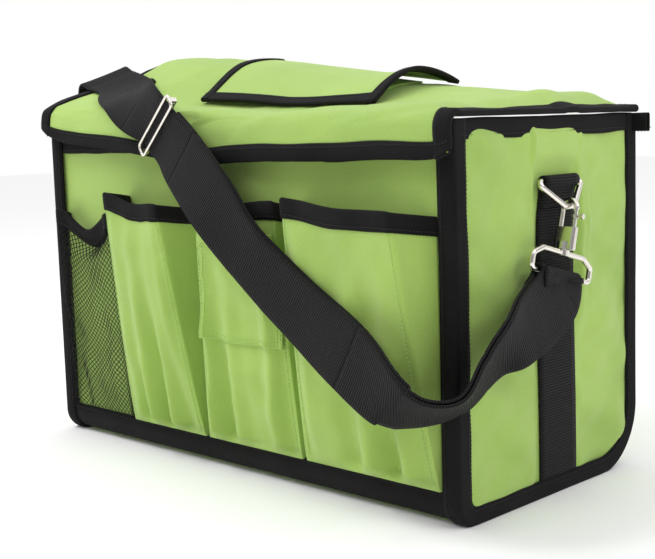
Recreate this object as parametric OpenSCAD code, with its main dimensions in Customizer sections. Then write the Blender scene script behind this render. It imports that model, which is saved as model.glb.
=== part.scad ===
// Soft satchel for garden tools, with bellows pockets on the front, a domed
// lid and a clip-on shoulder strap. Origin: middle of the base, on the floor.
// X runs along the width, Y from front (-) to back (+), Z up.

/* [Body] */
// Width over the end panels
bag_w = 430; // [380:5:500]
// Depth over the front and back seams
bag_d = 208; // [180:2:240]
// Height of the end panels
bag_h = 256; // [240:2:290]
// Thickness of a body panel with its stiffening
panel_t = 3; // [2:0.5:4]
// Radius of the lower back corners
rear_r = 47; // [20:1:60]
// Radius of the lower front corners
front_r = 17; // [8:1:30]
// Height of the front panel below the bag's top
front_drop = 6; // [2:1:12]
// Thickness of the stiffening board in the base
board_t = 3; // [2:0.5:5]

/* [Binding] */
// Width of the folded tape on each face
tape_w = 12; // [8:1:16]
// Thickness of one layer of tape
tape_t = 1.6; // [1:0.2:2]
// Height of the black band along the foot of the front
band_h = 24; // [16:1:32]
// How far the back tape runs past the right end
tab_l = 12; // [6:1:20]

/* [Front pockets] */
// Fabric thickness of a pocket
pocket_t = 2; // [1.2:0.2:3]
// Top of the bellows pockets
pocket_h = 206; // [180:2:215]
// Fall of a bellows pocket's mouth across its width
pocket_fall = 8; // [0:1:14]
// How far the two outer bellows stand out at the mouth
bellows_out = 33; // [20:1:40]
// How far the middle bellows stands out at the mouth
middle_out = 17; // [12:1:30]
// Seam between the net pocket and the left bellows
seam_net = -118; // [-130:1:-110]
// Seam between the left and the middle bellows
seam_left = -25; // [-35:1:-15]
// Seam between the middle and the right bellows
seam_right = 80; // [70:1:90]
// Top of the net pocket
net_h = 190; // [160:2:200]
// How far the net pocket stands out at the mouth
net_out = 16; // [10:1:24]
// Width of the patch pocket
patch_w = 80; // [50:1:84]
// Height of the patch pocket
patch_h = 80; // [50:2:90]
// Height of the patch pocket's foot above the floor
patch_z = 104; // [70:2:115]
// Depth of the patch pocket at its mouth
patch_gape = 7; // [6:0.5:10]

/* [Lid] */
// Rise of the lid's ridge above the bag's top, at the left end
lid_rise = 61; // [50:1:72]
// Fall of the ridge from the left end to the right end
lid_fall = 50; // [30:1:54]
// Rise of the lid's front shoulder above the bag's top, at the left end
shoulder_rise = 23; // [20:1:30]
// Fall of the shoulder from the left end to the right end
shoulder_fall = 16; // [8:1:17]
// How far the lid's front edge hangs below the bag's top
lid_drop = 26; // [20:1:34]
// Length of the lid past each end panel
lid_over = 3; // [2:0.5:6]
// Thickness of the lid
lid_t = 2.5; // [2:0.5:4]
// Width of the flap on the lid
flap_w = 202; // [160:2:212]
// Thickness of the flap
flap_t = 1.6; // [1.2:0.2:2.4]
// Height of the arch along the flap's right edge
flap_arch = 12; // [2:1:15]

/* [Strap hardware] */
// Width of the webbing sewn to each end
anchor_w = 42; // [30:1:44]
// Thickness of the end webbing
anchor_t = 1.8; // [1.4:0.2:2.4]
// Place of the end webbing from front to back
anchor_y = 3; // [-10:1:15]
// Depth of the ring's top bar below the bag's top
ring_down = 42; // [34:1:51]
// Wire thickness of the ring
ring_wire = 4; // [3:0.2:4.6]
// Width of the ring over its wires
ring_w = 50; // [49:1:56]
// Drop of the ring below its top bar
ring_drop = 19; // [16:1:24]
// Lean of the ring away from the end panel
ring_lean = 26; // [24:1:30]
// Forward lean of the snap hook, as the strap pulls it
hook_lean = 15; // [0:1:18]
// Wire thickness of the snap hook
hook_wire = 3.8; // [3.4:0.1:4.2]
// Clear radius inside the snap hook's bend
hook_bend = 3.4; // [3.2:0.1:4]
// Length of the snap hook's mouth below its bend
mouth_l = 13; // [12:0.5:16]
// Radius of the snap hook's barrel
barrel_r = 5; // [4.6:0.1:5.4]
// Length of the snap hook's barrel
barrel_l = 15; // [14:0.5:18]
// Travel of the trigger
trigger_travel = 6; // [4:0.5:6.5]
// Width of the swivel eye over its wires
eye_w = 72; // [66:1:78]
// Height of the swivel eye over its wires
eye_h = 19; // [17:1:24]
// Wire thickness of the swivel eye
eye_wire = 4; // [3:0.2:4.6]

/* [Shoulder strap] */
// Width of the shoulder strap
strap_w = 46; // [36:1:48]
// Thickness of the shoulder strap
strap_t = 1.8; // [1.4:0.2:2]
// Width of the strap slider
slider_w = 62; // [60:1:72]
// Length of the strap slider along the strap
slider_l = 13; // [12:0.5:22]
// Wire thickness of the strap slider
slider_wire = 2.4; // [2:0.2:3]

/* [Hidden] */
$fn = 48;
// Gap that lets one body move past another
clear = 0.4;
// Radial gap of a pin or wire that turns in its bore
run_gap = 0.05;
wire_gap = 0.3;
// A bent wire swells a little in its bends, where its straights run in
wire_swell = 0.04;
wire_lap = 0.3;
end_x = bag_w / 2;
face_y = bag_d / 2;
ring_z = bag_h - ring_down;
// Plane of the front panel, just behind the seam tapes
front_y = -face_y + tape_gap();
function tape_gap() = 2;
skin = 0.01;
seam_x = end_x - tape_w;
front_top = bag_h - front_drop;
// Depth of a pocket at its foot, and how far its seams keep from the next pocket
pocket_foot = 4;
seam_gap = 2;
// How much narrower a pocket's front is than its back, at the mouth
bellows_set = 12;
middle_set = 8;
net_set = 5;
middle_fall = 2;
net_fall = 6;
mouth_over = 4;
patch_foot = 3;

// The bag seen from its end, with soft lower corners.
module side_outline(inset = 0) {
    lo = -face_y + inset;
    hi = face_y - inset;
    difference() {
        translate([lo, inset]) square([hi - lo, bag_h - inset]);
        translate([lo, inset]) corner(front_r - inset);
        translate([hi, inset]) mirror([1, 0]) corner(rear_r - inset);
    }
}

// What a rounded corner takes away.
module corner(r) {
    difference() {
        translate([-1, -1]) square([r + 1, r + 1]);
        translate([r, r]) circle(r, $fn = 96);
    }
}

// Extrudes an end outline along the width.
module along_x(from, to) {
    rotate([90, 0, 90]) translate([0, 0, from]) linear_extrude(to - from) children();
}

module block(low, high) {
    translate(low) cube(high - low);
}

// A round rod between two points.
module rod(a, b, r) {
    d = b - a;
    translate(a)
        rotate([0, acos(d[2] / norm(d)), atan2(d[1], d[0])])
            cylinder(h = norm(d), r = r);
}

// A closed loop of round wire in the XY plane, bent at each of its corners.
module wire_loop(corners, r, bend) {
    n = len(corners);
    for (i = [0 : n - 1]) {
        a = corners[(i + n - 1) % n];
        b = corners[i];
        c = corners[(i + 1) % n];
        into = (b - a) / norm(b - a);
        out = (c - b) / norm(c - b);
        turn = atan2(into[0] * out[1] - into[1] * out[0], into * out);
        next = (corners[(i + 2) % n] - c) / norm(corners[(i + 2) % n] - c);
        next_turn = atan2(out[0] * next[1] - out[1] * next[0], out * next);
        from = b + out * (bend * tan(turn / 2) - wire_lap);
        to = c - out * (bend * tan(next_turn / 2) - wire_lap);
        rod([from[0], from[1], 0], [to[0], to[1], 0], r);
        centre = b - into * bend * tan(turn / 2) + bend * [-into[1], into[0]];
        translate([centre[0], centre[1], 0]) rotate([0, 0, atan2(into[1], into[0]) - 90])
            rotate_extrude(angle = turn) translate([bend, 0]) circle(r + wire_swell);
    }
}

// A rectangle of bent wire round the origin.
module bent_wire(width, length, r, bend) {
    x = width / 2;
    y = length / 2;
    wire_loop([[-x, -y], [x, -y], [x, y], [-x, y]], r, bend);
}

// ---- Body -------------------------------------------------------------

module front_panel() {
    color("yellowgreen") along_x(-end_x + panel_t, end_x - panel_t) intersection() {
        difference() {
            side_outline(tape_gap());
            side_outline(tape_gap() + panel_t);
        }
        translate([-face_y, 0]) square([front_r, front_top]);
    }
}

module base_panel() {
    color("yellowgreen") along_x(-seam_x, seam_x) intersection() {
        difference() {
            side_outline();
            side_outline(panel_t);
        }
        translate([-face_y + front_r, 0]) square([bag_d, rear_r]);
    }
}

module back_panel() {
    color("yellowgreen") along_x(-seam_x, seam_x)
        translate([face_y - panel_t, rear_r]) square([panel_t, bag_h - rear_r]);
}

module base_board() {
    edge = panel_t + board_t;
    color("dimgray")
        block([-end_x + edge, -face_y + front_r + 1, panel_t], [end_x - edge, face_y - rear_r, edge]);
}

module end_panel_right() {
    color("yellowgreen") along_x(end_x - panel_t, end_x) side_outline(tape_gap());
}

module end_panel_left() {
    mirror([1, 0, 0]) end_panel_right();
}

// Tape folded round the front, bottom and back seams of one end.
module end_binding_right() {
    color("black") {
        along_x(seam_x, end_x) difference() {
            side_outline();
            side_outline(tape_gap());
            translate([-face_y, bag_h - skin]) square([bag_d, 1]);
        }
        along_x(end_x, end_x + tape_t) difference() {
            side_outline();
            translate([0, tape_w]) square([bag_d - 2 * tape_w, 2 * bag_h], center = true);
            side_outline(tape_w);
        }
    }
}

module end_binding_left() {
    mirror([1, 0, 0]) end_binding_right();
}

// Tape folded over the top edge of one end panel.
module mouth_binding_right() {
    inner = end_x - panel_t;
    reach = face_y - tape_w;
    color("black") {
        block([inner - tape_t, -face_y, bag_h], [end_x + tape_t, face_y - panel_t, bag_h + tape_t]);
        block([inner - tape_t, -reach, bag_h - tape_w], [inner, reach, bag_h]);
        block([end_x, -reach, bag_h - tape_w], [end_x + tape_t, reach, bag_h]);
    }
}

module mouth_binding_left() {
    mirror([1, 0, 0]) mouth_binding_right();
}

// Tape folded over the top edge of the front panel.
module front_binding() {
    inner = front_y + panel_t;
    color("black") {
        block([-seam_x, front_y - tape_t, front_top], [seam_x, inner + tape_t, front_top + tape_t]);
        block([-seam_x, front_y - tape_t, front_top - tape_w], [seam_x, front_y, front_top]);
        block([-seam_x, inner, front_top - tape_w], [seam_x, inner + tape_t, front_top]);
    }
}

// Tape over the back edge, which also carries the lid. Its tail sticks out at the right.
module back_binding() {
    over = end_x + tape_t;
    color("black") {
        block([-over, face_y - panel_t, bag_h], [over, face_y + tape_t, bag_h + tape_t]);
        block([-over, face_y, bag_h - tape_w], [over, face_y + tape_t, bag_h]);
        block([over, face_y - 1, bag_h - tape_w + 1], [over + tab_l, face_y + tape_t, bag_h + tape_t]);
    }
}

// Black band along the foot of the front.
module base_band() {
    color("black") along_x(-seam_x, seam_x) intersection() {
        difference() {
            side_outline();
            side_outline(tape_gap());
        }
        translate([-face_y, 0]) square([front_r, band_h]);
    }
}

// ---- Front pockets ----------------------------------------------------

// Solid wedge of a bellows pocket: narrow at its foot, standing out at the mouth.
// grow widens it on the three free sides.
module wedge(left, right, out, set, top, grow) {
    foot = -pocket_foot - grow;
    low = [[left - grow, 0], [right + grow, 0], [right + grow, foot], [left - grow, foot]];
    high = [
        [left - grow, 0], [right + grow, 0],
        [right - set + grow, -out - grow], [left + set - grow, -out - grow]
    ];
    translate([0, front_y, 0]) hull() {
        translate([0, 0, band_h]) linear_extrude(skin) polygon(low);
        translate([0, 0, top]) linear_extrude(skin) polygon(high);
    }
}

// Keeps what is under a mouth that falls from left to right.
module under_mouth(left, right, top, fall, lower = 0) {
    slope = atan(fall / (right - left));
    translate([left, 0, top - lower]) rotate([0, slope, 0])
        translate([-bag_h, -bag_d, -2 * bag_h]) cube([right - left + 2 * bag_h, bag_d, 2 * bag_h]);
}

// A pocket of thin cloth, open at the top and closed at the back by the front panel.
module pocket(left, right, out, set, top, fall, grow = 0) {
    intersection() {
        difference() {
            wedge(left, right, out, set, top + mouth_over, grow);
            translate([0, 1, pocket_t])
                wedge(left, right, out + 1, set, top + mouth_over + 1, -pocket_t - grow);
        }
        under_mouth(left, right, top, fall, -grow);
    }
}

// Tape folded over a pocket's mouth.
module pocket_tape(left, right, out, set, top, fall) {
    color("black") intersection() {
        difference() {
            wedge(left, right, out, set, top + mouth_over, tape_t);
            translate([0, 1, 0]) wedge(left, right, out + 1, set, top + mouth_over + 1, -pocket_t - tape_t);
            under_mouth(left, right, top, fall, tape_w);
            pocket(left, right, out, set, top, fall, 2 * skin);
        }
        under_mouth(left, right, top, fall, -tape_t);
        block([-end_x, -2 * bag_d, 0], [end_x, front_y, bag_h]);
    }
}

module pocket_left() {
    color("yellowgreen")
        pocket(seam_net + seam_gap, seam_left - seam_gap, bellows_out, bellows_set, pocket_h, pocket_fall);
}

module pocket_left_binding() {
    pocket_tape(seam_net + seam_gap, seam_left - seam_gap, bellows_out, bellows_set, pocket_h, pocket_fall);
}

module pocket_middle() {
    color("yellowgreen")
        pocket(seam_left + seam_gap, seam_right - seam_gap, middle_out, middle_set, pocket_h, middle_fall);
}

module pocket_middle_binding() {
    pocket_tape(seam_left + seam_gap, seam_right - seam_gap, middle_out, middle_set, pocket_h, middle_fall);
}

module pocket_right() {
    color("yellowgreen")
        pocket(seam_right + seam_gap, seam_x - seam_gap, bellows_out, bellows_set, pocket_h, pocket_fall);
}

module pocket_right_binding() {
    pocket_tape(seam_right + seam_gap, seam_x - seam_gap, bellows_out, bellows_set, pocket_h, pocket_fall);
}

module net_pocket() {
    color("dimgray") pocket(-seam_x + seam_gap, seam_net - seam_gap, net_out, net_set, net_h, net_fall);
}

module net_pocket_binding() {
    pocket_tape(-seam_x + seam_gap, seam_net - seam_gap, net_out, net_set, net_h, net_fall);
}

// Places a part on the leaning front of the middle bellows.
module on_middle_front() {
    rise = pocket_h + mouth_over - band_h;
    middle_x = (seam_left + seam_right) / 2;
    translate([middle_x, front_y - pocket_foot - 2 * skin, band_h])
        rotate([atan((middle_out - pocket_foot) / rise), 0, 0])
            translate([0, 0, patch_z - band_h])
                children();
}

// Flat pocket on the middle bellows, for labels and pencils.
module patch_pocket() {
    color("yellowgreen") on_middle_front() difference() {
        patch_body(patch_w, 0);
        translate([0, skin, pocket_t]) patch_body(patch_w - 2 * pocket_t, pocket_t - skin);
    }
}

module patch_body(width, inset) {
    hull() {
        translate([-width / 2, inset - patch_foot, 0]) cube([width, patch_foot - inset, skin]);
        translate([-width / 2, inset - patch_gape, patch_h]) cube([width, patch_gape - inset, skin]);
    }
}

// ---- Lid ---------------------------------------------------------------

lid_x = end_x + lid_over;
cloth_x = lid_x - tape_w;
hinge_z = bag_h + tape_t + clear;
lid_high = bag_h + lid_rise;
shoulder_high = bag_h + shoulder_rise;
lid_edge_z = bag_h - lid_drop;
// How far the front edge stands out, and the place of the turn above it
edge_out = 6;
turn_out = 3.2;
turn_down = 8;
// Places of the profile's points from front to back
shoulder_in = 10;
slope_in = 58;
ridge_y = 16;
hinge_in = 20;
// Where the ridge eases its fall, and the share of the fall up to there
bend_x = 0.41 * lid_x;
bend_share = 0.79;
// Share of the shoulder's fall at the middle
middle_share = 0.94;
// Between these places the flap holds the lid down in front of the ridge
dip_from = -0.48 * lid_x;
dip_to = bend_x;
dip_run = 30;
slope_share = 0.39;
back_share = 0.95;
// Rise of the front edge towards the left, and at its rounded corners
edge_rise = 20;
corner_rise = 8;
corner_l = 34;
// Where the flap is sewn along the lid's profile, and where it ends
flap_back = 4.65;
flap_front = 3.13;
flap_mid_x = -13;
// How far the flap's front corners are skewed to the right of its back ones
skew_left = 20;
skew_right = 6;
// How far the flat pocket keeps inside the flap at each side
pocket_in = 18;
stations = 22;
steps = 22;
// The profile's last point is the hinge; the tape takes its first part
hinge_t = 6;
lid_tape = 0.4;
seam = 0.01;
// How far a binding stands above the cloth it is folded over
tape_extra = 0.6;

// A smooth curve through the points p, with t counting the points passed.
function curve(p, t) =
    let (n = len(p) - 1, i = max(0, min(floor(t), n - 1)), f = t - i)
    let (a = p[max(i - 1, 0)], b = p[i], c = p[i + 1], d = p[min(i + 2, n)])
    0.5 * (2 * b + (c - a) * f + (2 * a - 5 * b + 4 * c - d) * f * f + (3 * b - a - 3 * c + d) * f * f * f);

// Heights of the ridge and of the front shoulder along the lid.
function ridge(x) = lid_high - lid_fall * lookup(x, [[-lid_x, 0], [bend_x, bend_share], [lid_x, 1]]);
function shoulder(x) = shoulder_high - shoulder_fall * lookup(x, [[-lid_x, 0], [0, middle_share], [lid_x, 1]]);
// How far up to the ridge the slope in front of it already is.
function slope(x) = lookup(x, [
    [-lid_x, slope_share], [dip_from - dip_run, slope_share / 3], [dip_from, 0], [dip_to, 0], [lid_x, slope_share]
]);

// Height of the front edge, with rounded corners at both ends.
function edge_z(x) =
    let (c = max(0, (abs(x) - lid_x + corner_l) / corner_l))
    lid_edge_z + edge_rise * max(0, -x) / lid_x + corner_rise * (1 - sqrt(1 - c * c));

// Underside of the lid across the bag, from the front edge to the hinge.
function profile(x) =
    let (r = ridge(x), s = shoulder(x), h = hinge_z)
    [
        [-face_y - edge_out, edge_z(x)],
        [-face_y - turn_out, s - turn_down],
        [-face_y + shoulder_in, s],
        [-face_y + slope_in, s + slope(x) * (r - s)],
        [ridge_y, r],
        [face_y - hinge_in, h + back_share * (r - h)],
        [face_y, h]
    ];

// A point of the lid, lifted off its underside.
function on_lid(x, t, lift) =
    let (p = profile(x), q = curve(p, t), d = curve(p, min(6, t + 0.02)) - curve(p, max(0, t - 0.02)))
    [x, q[0] - d[1] / norm(d) * lift, q[1] + d[0] / norm(d) * lift];

// A sheet bent to a grid of points: rows of the underside and of the top. Only the cells
// that keep says yes to are made.
module sheet(under, over, keep = function(i, j) true) {
    rows = len(under);
    cols = len(under[0]);
    function at(i, j, k) = k * rows * cols + i * cols + j;
    function side(i, j, near) = i >= 0 && j >= 0 && i < rows - 1 && j < cols - 1 && keep(i, j) ? [] : [
        [near[0], near[1], near[2]],
        [near[0], near[2], near[3]]
    ];
    polyhedron(
        points = concat([for (r = under) each r], [for (r = over) each r]),
        faces = [
            for (i = [0 : rows - 2]) for (j = [0 : cols - 2]) if (keep(i, j))
                let (a = at(i, j, 0), b = at(i + 1, j, 0), c = at(i + 1, j + 1, 0), d = at(i, j + 1, 0))
                let (e = at(i, j, 1), f = at(i + 1, j, 1), g = at(i + 1, j + 1, 1), h = at(i, j + 1, 1))
                each concat(
                    [[a, b, c], [a, c, d], [e, g, f], [e, h, g]],
                    side(i, j - 1, [a, e, f, b]),
                    side(i, j + 1, [d, c, g, h]),
                    side(i - 1, j, [a, d, h, e]),
                    side(i + 1, j, [b, f, g, c])
                )
        ]
    );
}

function spread(from, to, n) = [for (i = [0 : n]) from + (to - from) * i / n];

// Part of the lid over the given places across it and along its profile.
module lid_part(xs, ts, low, high, keep = function(i, j) true) {
    sheet(
        [for (x = xs) [for (t = ts) on_lid(x, t, low)]],
        [for (x = xs) [for (t = ts) on_lid(x, t, high)]],
        keep
    );
}

module lid() {
    color("yellowgreen")
        lid_part(spread(-cloth_x, cloth_x, stations), spread(lid_tape + seam, hinge_t, steps), 0, lid_t);
}

// Tape along the lid's front edge and both sides.
module lid_binding() {
    xs = concat([-lid_x], spread(-cloth_x, cloth_x, stations), [lid_x]);
    ts = concat([0], spread(lid_tape, hinge_t, steps));
    color("black")
        lid_part(xs, ts, 0, lid_t + tape_extra, function(i, j) i == 0 || i == len(xs) - 2 || j == 0);
}

// A place on the flap as [x, t] of the lid: s runs across it, t from its front edge to its back.
function flap_at(s, t, w) =
    let (skew = (1 - t) * (skew_left * (1 - s) + skew_right * s))
    [flap_mid_x + (s - 1 / 2) * w + skew, flap_front + (flap_back - flap_front) * t];

function arch(s, t) = flap_arch * pow(s, 5) * sin(180 * t);

module flap_part(w, ss, ts, low, thick, lift, keep = function(i, j) true) {
    grid = [for (s = ss) [for (t = ts) concat(flap_at(s, t, w), lift * arch(s, t))]];
    sheet(
        [for (r = grid) [for (g = r) on_lid(g[0], g[1], low + g[2])]],
        [for (r = grid) [for (g = r) on_lid(g[0], g[1], low + thick + g[2])]],
        keep
    );
}

// The flap lies on its pocket, and the pocket on the lid
ply_gap = 0.4;
ply_t = 1.2;
flap_rise = lid_t + ply_gap + ply_t + 2 * ply_gap;
flap_edge = 0.045;
flap_tape = 0.1;

// Flap that covers the flat pocket on the lid.
module lid_flap() {
    edge = flap_edge + seam / 4;
    color("yellowgreen")
        flap_part(flap_w, spread(edge, 1 - edge, 12), spread(flap_tape + seam, 1, 9), flap_rise, flap_t, 1);
}

module lid_flap_binding() {
    ss = concat([0], spread(flap_edge, 1 - flap_edge, 12), [1]);
    ts = concat([0], spread(flap_tape, 1, 9));
    color("black") flap_part(flap_w, ss, ts, flap_rise, flap_t + tape_extra, 1,
        function(i, j) i == 0 || i == len(ss) - 2 || j == 0);
}

// Flat pocket under the flap; its mouth faces the hinge side.
module lid_pocket() {
    color("yellowgreen")
        flap_part(flap_w - 2 * pocket_in, spread(0, 1, 12), spread(0.14, 0.8, 8), lid_t + ply_gap, ply_t, 0);
}

// ---- Ring, snap hook and swivel eye, modelled at the right end ------------

loop_r = ring_wire / 2 + wire_gap + anchor_t;
bar_x = end_x + loop_r;
// The ring's tight bends, over the wire's own radius
bend_over = 0.6;
ring_bend = ring_wire / 2 + bend_over;
// Half the width of the ring's foot, where the hook hangs
foot_half = 5;
// Corner of the ring's wire before it is bent round
leg_turn = 180 - atan2(ring_drop, ring_w / 2 - foot_half);
ring_half = (ring_w - ring_wire) / 2 + ring_bend * (tan(leg_turn / 2) - 1);
// Width of the webbing where it is folded round the ring's bar
fold_w = min(anchor_w, ring_w - ring_wire - 2 * ring_bend - 8 * clear);
fold_l = 17;
foot_x = bar_x + ring_drop * sin(ring_lean);
foot_z = ring_z - ring_drop * cos(ring_lean);
// Places along the hook, measured down from the ring's foot
wire_r = hook_wire / 2;
pitch_r = hook_bend + wire_r;
bend_z = (ring_wire / 2 + wire_r + wire_swell + run_gap) / cos(hook_lean) - pitch_r;
barrel_top = bend_z - mouth_l;
barrel_end = barrel_top - barrel_l;
collar_l = 5;
// How far the shank runs into the barrel, and the gap of the bolt's tip under the nose
shank_in = 2;
nose_gap = 0.2;
bolt_r = 1.5;
bolt_wall = 1.4;
// Wall left under the bolt's bore, and the least length the spring keeps
bore_floor = 1.5;
spring_l = 2;
pin_r = 1.7;
pin_l = 4;
// The nose ends a little below the bend's middle
nose_l = 1.5;
nose_z = bend_z - nose_l;
// Slope at the eye's upper corners
eye_slope_w = 10;
eye_slope_h = 5;
eye_bend = 3.4;
// Boss where the eye's pin leaves its wire
eye_boss_r = 4;
eye_top = barrel_end - clear - eye_wire / 2;
eye_bar = eye_top - (eye_h - eye_wire);

// Webbing sewn up the end, folded round the ring's top bar.
module end_webbing_right() {
    color("black") translate([0, anchor_y, 0]) difference() {
        union() {
            block([end_x, -anchor_w / 2, tape_w], [end_x + anchor_t, anchor_w / 2, ring_z]);
            block([end_x, -fold_w / 2, ring_z - fold_l], [end_x + 2 * anchor_t, fold_w / 2, ring_z]);
            translate([bar_x, 0, ring_z]) rotate([90, 0, 0]) cylinder(h = fold_w, r = loop_r, center = true);
        }
        translate([bar_x, 0, ring_z]) rotate([90, 0, 0])
            cylinder(h = anchor_w + 2, r = ring_wire / 2 + wire_gap, center = true);
    }
}

module end_webbing_left() {
    mirror([1, 0, 0]) end_webbing_right();
}

// Bent wire ring, hanging from its top bar.
module ring_right() {
    color("silver") translate([bar_x, anchor_y, ring_z]) rotate([0, -ring_lean, 0]) rotate([90, 0, 90])
        wire_loop([[ring_half, 0], [-ring_half, 0], [-foot_half, -ring_drop], [foot_half, -ring_drop]],
                  ring_wire / 2, ring_bend);
}

module ring_left() {
    mirror([1, 0, 0]) ring_right();
}

// Places a part at the ring's foot, leaning the way the strap pulls.
module on_hook() {
    translate([foot_x, anchor_y, foot_z]) rotate([-hook_lean, 0, 0]) children();
}

// Cast snap hook: bend, nose, shank and the barrel that guides the trigger.
module hook_body_right() {
    side_r = bolt_r + bolt_wall;
    color("silver") on_hook() {
        translate([0, 0, bend_z]) rotate([90, 0, 0])
            rotate_extrude(angle = 180) translate([pitch_r, 0]) circle(wire_r + wire_swell);
        translate([pitch_r, 0, nose_z]) cylinder(h = bend_z - nose_z + wire_lap, r = wire_r);
        translate([-pitch_r, 0, barrel_top - shank_in])
            cylinder(h = bend_z - barrel_top + shank_in + wire_lap, r = wire_r);
        difference() {
            union() {
                for (side = [-1, 1]) translate([side * pitch_r, 0, barrel_end])
                    cylinder(h = barrel_l, r = side_r);
                translate([-pitch_r, -side_r, barrel_end]) cube([2 * pitch_r, 2 * side_r, barrel_l]);
                translate([0, 0, barrel_end]) cylinder(h = collar_l, r = barrel_r);
            }
            translate([pitch_r, 0, barrel_end + bore_floor]) cylinder(h = 2 * barrel_l, r = bolt_r + run_gap);
            translate([0, 0, barrel_end - 1]) cylinder(h = pin_l + 1 + clear, r = pin_r + run_gap);
        }
    }
}

module hook_body_left() {
    mirror([1, 0, 0]) hook_body_right();
}

bolt_low = barrel_end + bore_floor + trigger_travel + spring_l;
// Collar on the bolt, and the stem and thumb knob that stand out from it
bolt_collar_r = 2.6;
bolt_collar_l = 2;
stem_r = 0.8;
stem_l = 5;
knob_r = 1.8;
knob_t = 1.6;
// Spring wire, and its gap to the bore round the bolt
coil_wire = 0.22;
coil_gap = 0.15;
coil_turns = 4;

// Sliding bolt that closes the hook's mouth, with a round thumb knob.
module trigger_right() {
    knob_z = barrel_top + trigger_travel + clear;
    color("silver") on_hook() translate([pitch_r, 0, 0]) {
        translate([0, 0, bolt_low]) cylinder(h = nose_z - nose_gap - bolt_low, r = bolt_r);
        translate([0, 0, knob_z]) cylinder(h = bolt_collar_l, r = bolt_collar_r);
        translate([0, 0, knob_z + bolt_collar_l / 2]) rotate([0, 90, 0]) {
            cylinder(h = stem_l, r = stem_r);
            translate([0, 0, stem_l - wire_lap]) cylinder(h = knob_t, r = knob_r);
        }
    }
}

module trigger_left() {
    mirror([1, 0, 0]) trigger_right();
}

// Coil spring under the bolt.
module trigger_spring_right() {
    r = bolt_r - coil_wire - coil_gap;
    low = barrel_end + bore_floor + coil_wire;
    high = bolt_low - coil_wire;
    rings = 10 * coil_turns;
    color("gray") on_hook() translate([pitch_r, 0, 0]) tube(
        [for (i = [0 : rings]) let (a = 360 * coil_turns * i / rings)
            [r * cos(a), r * sin(a), low + (high - low) * i / rings]],
        coil_wire, 6);
}

module trigger_spring_left() {
    mirror([1, 0, 0]) trigger_spring_right();
}

// A round tube swept along points.
module tube(p, r, sides) {
    n = len(p) - 1;
    ring = [for (i = [0 : n])
        let (t = p[min(i + 1, n)] - p[max(i - 1, 0)], u = cross([0, 0, 1], t))
        let (a = u / norm(u), b = cross(t, a) / norm(t))
        for (k = [0 : sides - 1]) p[i] + r * (cos(360 * k / sides) * a + sin(360 * k / sides) * b)];
    polyhedron(
        points = ring,
        faces = concat(
            [[for (k = [0 : sides - 1]) k]],
            [[for (k = [sides - 1 : -1 : 0]) n * sides + k]],
            [for (i = [0 : n - 1]) for (k = [0 : sides - 1])
                let (m = (k + 1) % sides)
                [i * sides + k, (i + 1) * sides + k, (i + 1) * sides + m, i * sides + m]]
        )
    );
}

// Bent wire eye with a pin that turns in the hook's barrel.
module swivel_eye_right() {
    half = (eye_w - eye_wire) / 2;
    color("silver") on_hook() {
        rotate([90, 0, 90]) wire_loop([
            [half, eye_bar], [half, eye_top - eye_slope_h], [half - eye_slope_w, eye_top],
            [-half + eye_slope_w, eye_top], [-half, eye_top - eye_slope_h], [-half, eye_bar]
        ], eye_wire / 2, eye_bend);
        translate([0, 0, eye_top - eye_wire / 2]) cylinder(h = eye_wire, r = eye_boss_r);
        translate([0, 0, eye_top]) cylinder(h = barrel_end - eye_top + pin_l, r = pin_r);
    }
}

module swivel_eye_left() {
    mirror([1, 0, 0]) swivel_eye_right();
}

// ---- Shoulder strap --------------------------------------------------------

// Middle of the right eye's lower bar, the way up from it and the way along it
eye_at = [foot_x, anchor_y + eye_bar * sin(hook_lean), foot_z + eye_bar * cos(hook_lean)];
eye_up = [0, sin(hook_lean), cos(hook_lean)];
eye_along = [0, cos(hook_lean), -sin(hook_lean)];
// The strap's middle keeps this far from the bar's as it turns round it, and it
// is pulled this far towards the front of the bar
wrap_gap = 0.1;
eye_turn = eye_wire / 2 + clear + strap_t / 2 + wrap_gap;
eye_shift = -4;
// From one layer's middle to the next
layer_gap = strap_t + 1;

// The slider lies before the lid's front, askew over two layers of webbing
slider_x = -0.225 * lid_x;
slider_t = 0.81;
slider_off = 5.4;
slider_lift = lid_t + 2 * clear + layer_gap + strap_t / 2 + slider_off;
slider_at = on_lid(slider_x, slider_t, slider_lift);
// Across and along the strap at the slider, the latter towards the left end
strap_w_dir = unit([0.55, -0.08, 0.83]);
strap_along = unit(cross(strap_w_dir, cross([-0.8, 0.15, 0.58], strap_w_dir)));
slider_out = cross(strap_w_dir, strap_along);
slider_skew = 18;
slider_bend = 3;

function unit(v) = v / norm(v);
function mirror_x(v) = [-v[0], v[1], v[2]];

// Route of the strap's middle line: each entry is a place and the way to one edge, which is
// the rear one at the left end, the upper one in front and the front one at the right end.
// x runs from 0 in the middle to 1 at an end panel, y from 0 to 1 at the mouth of the outer
// bellows, and z from 0 on the floor to 1 at the eye's bar.
function strap_place(x, y, z, way) =
    [[x * end_x, -y * (face_y + bellows_out), z * eye_at[2]], way];
function lid_place(x, t, lift, way) = [on_lid(x * lid_x, t, lift), way];
function eye_place(side, across, up, turned = 1) =
    let (p = eye_at + across * [1, 0, 0] + up * eye_up + eye_shift * eye_along)
    [side > 0 ? p : mirror_x(p), turned * eye_along];
function slider_place(along) = [slider_at + along * strap_along, strap_w_dir];

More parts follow.
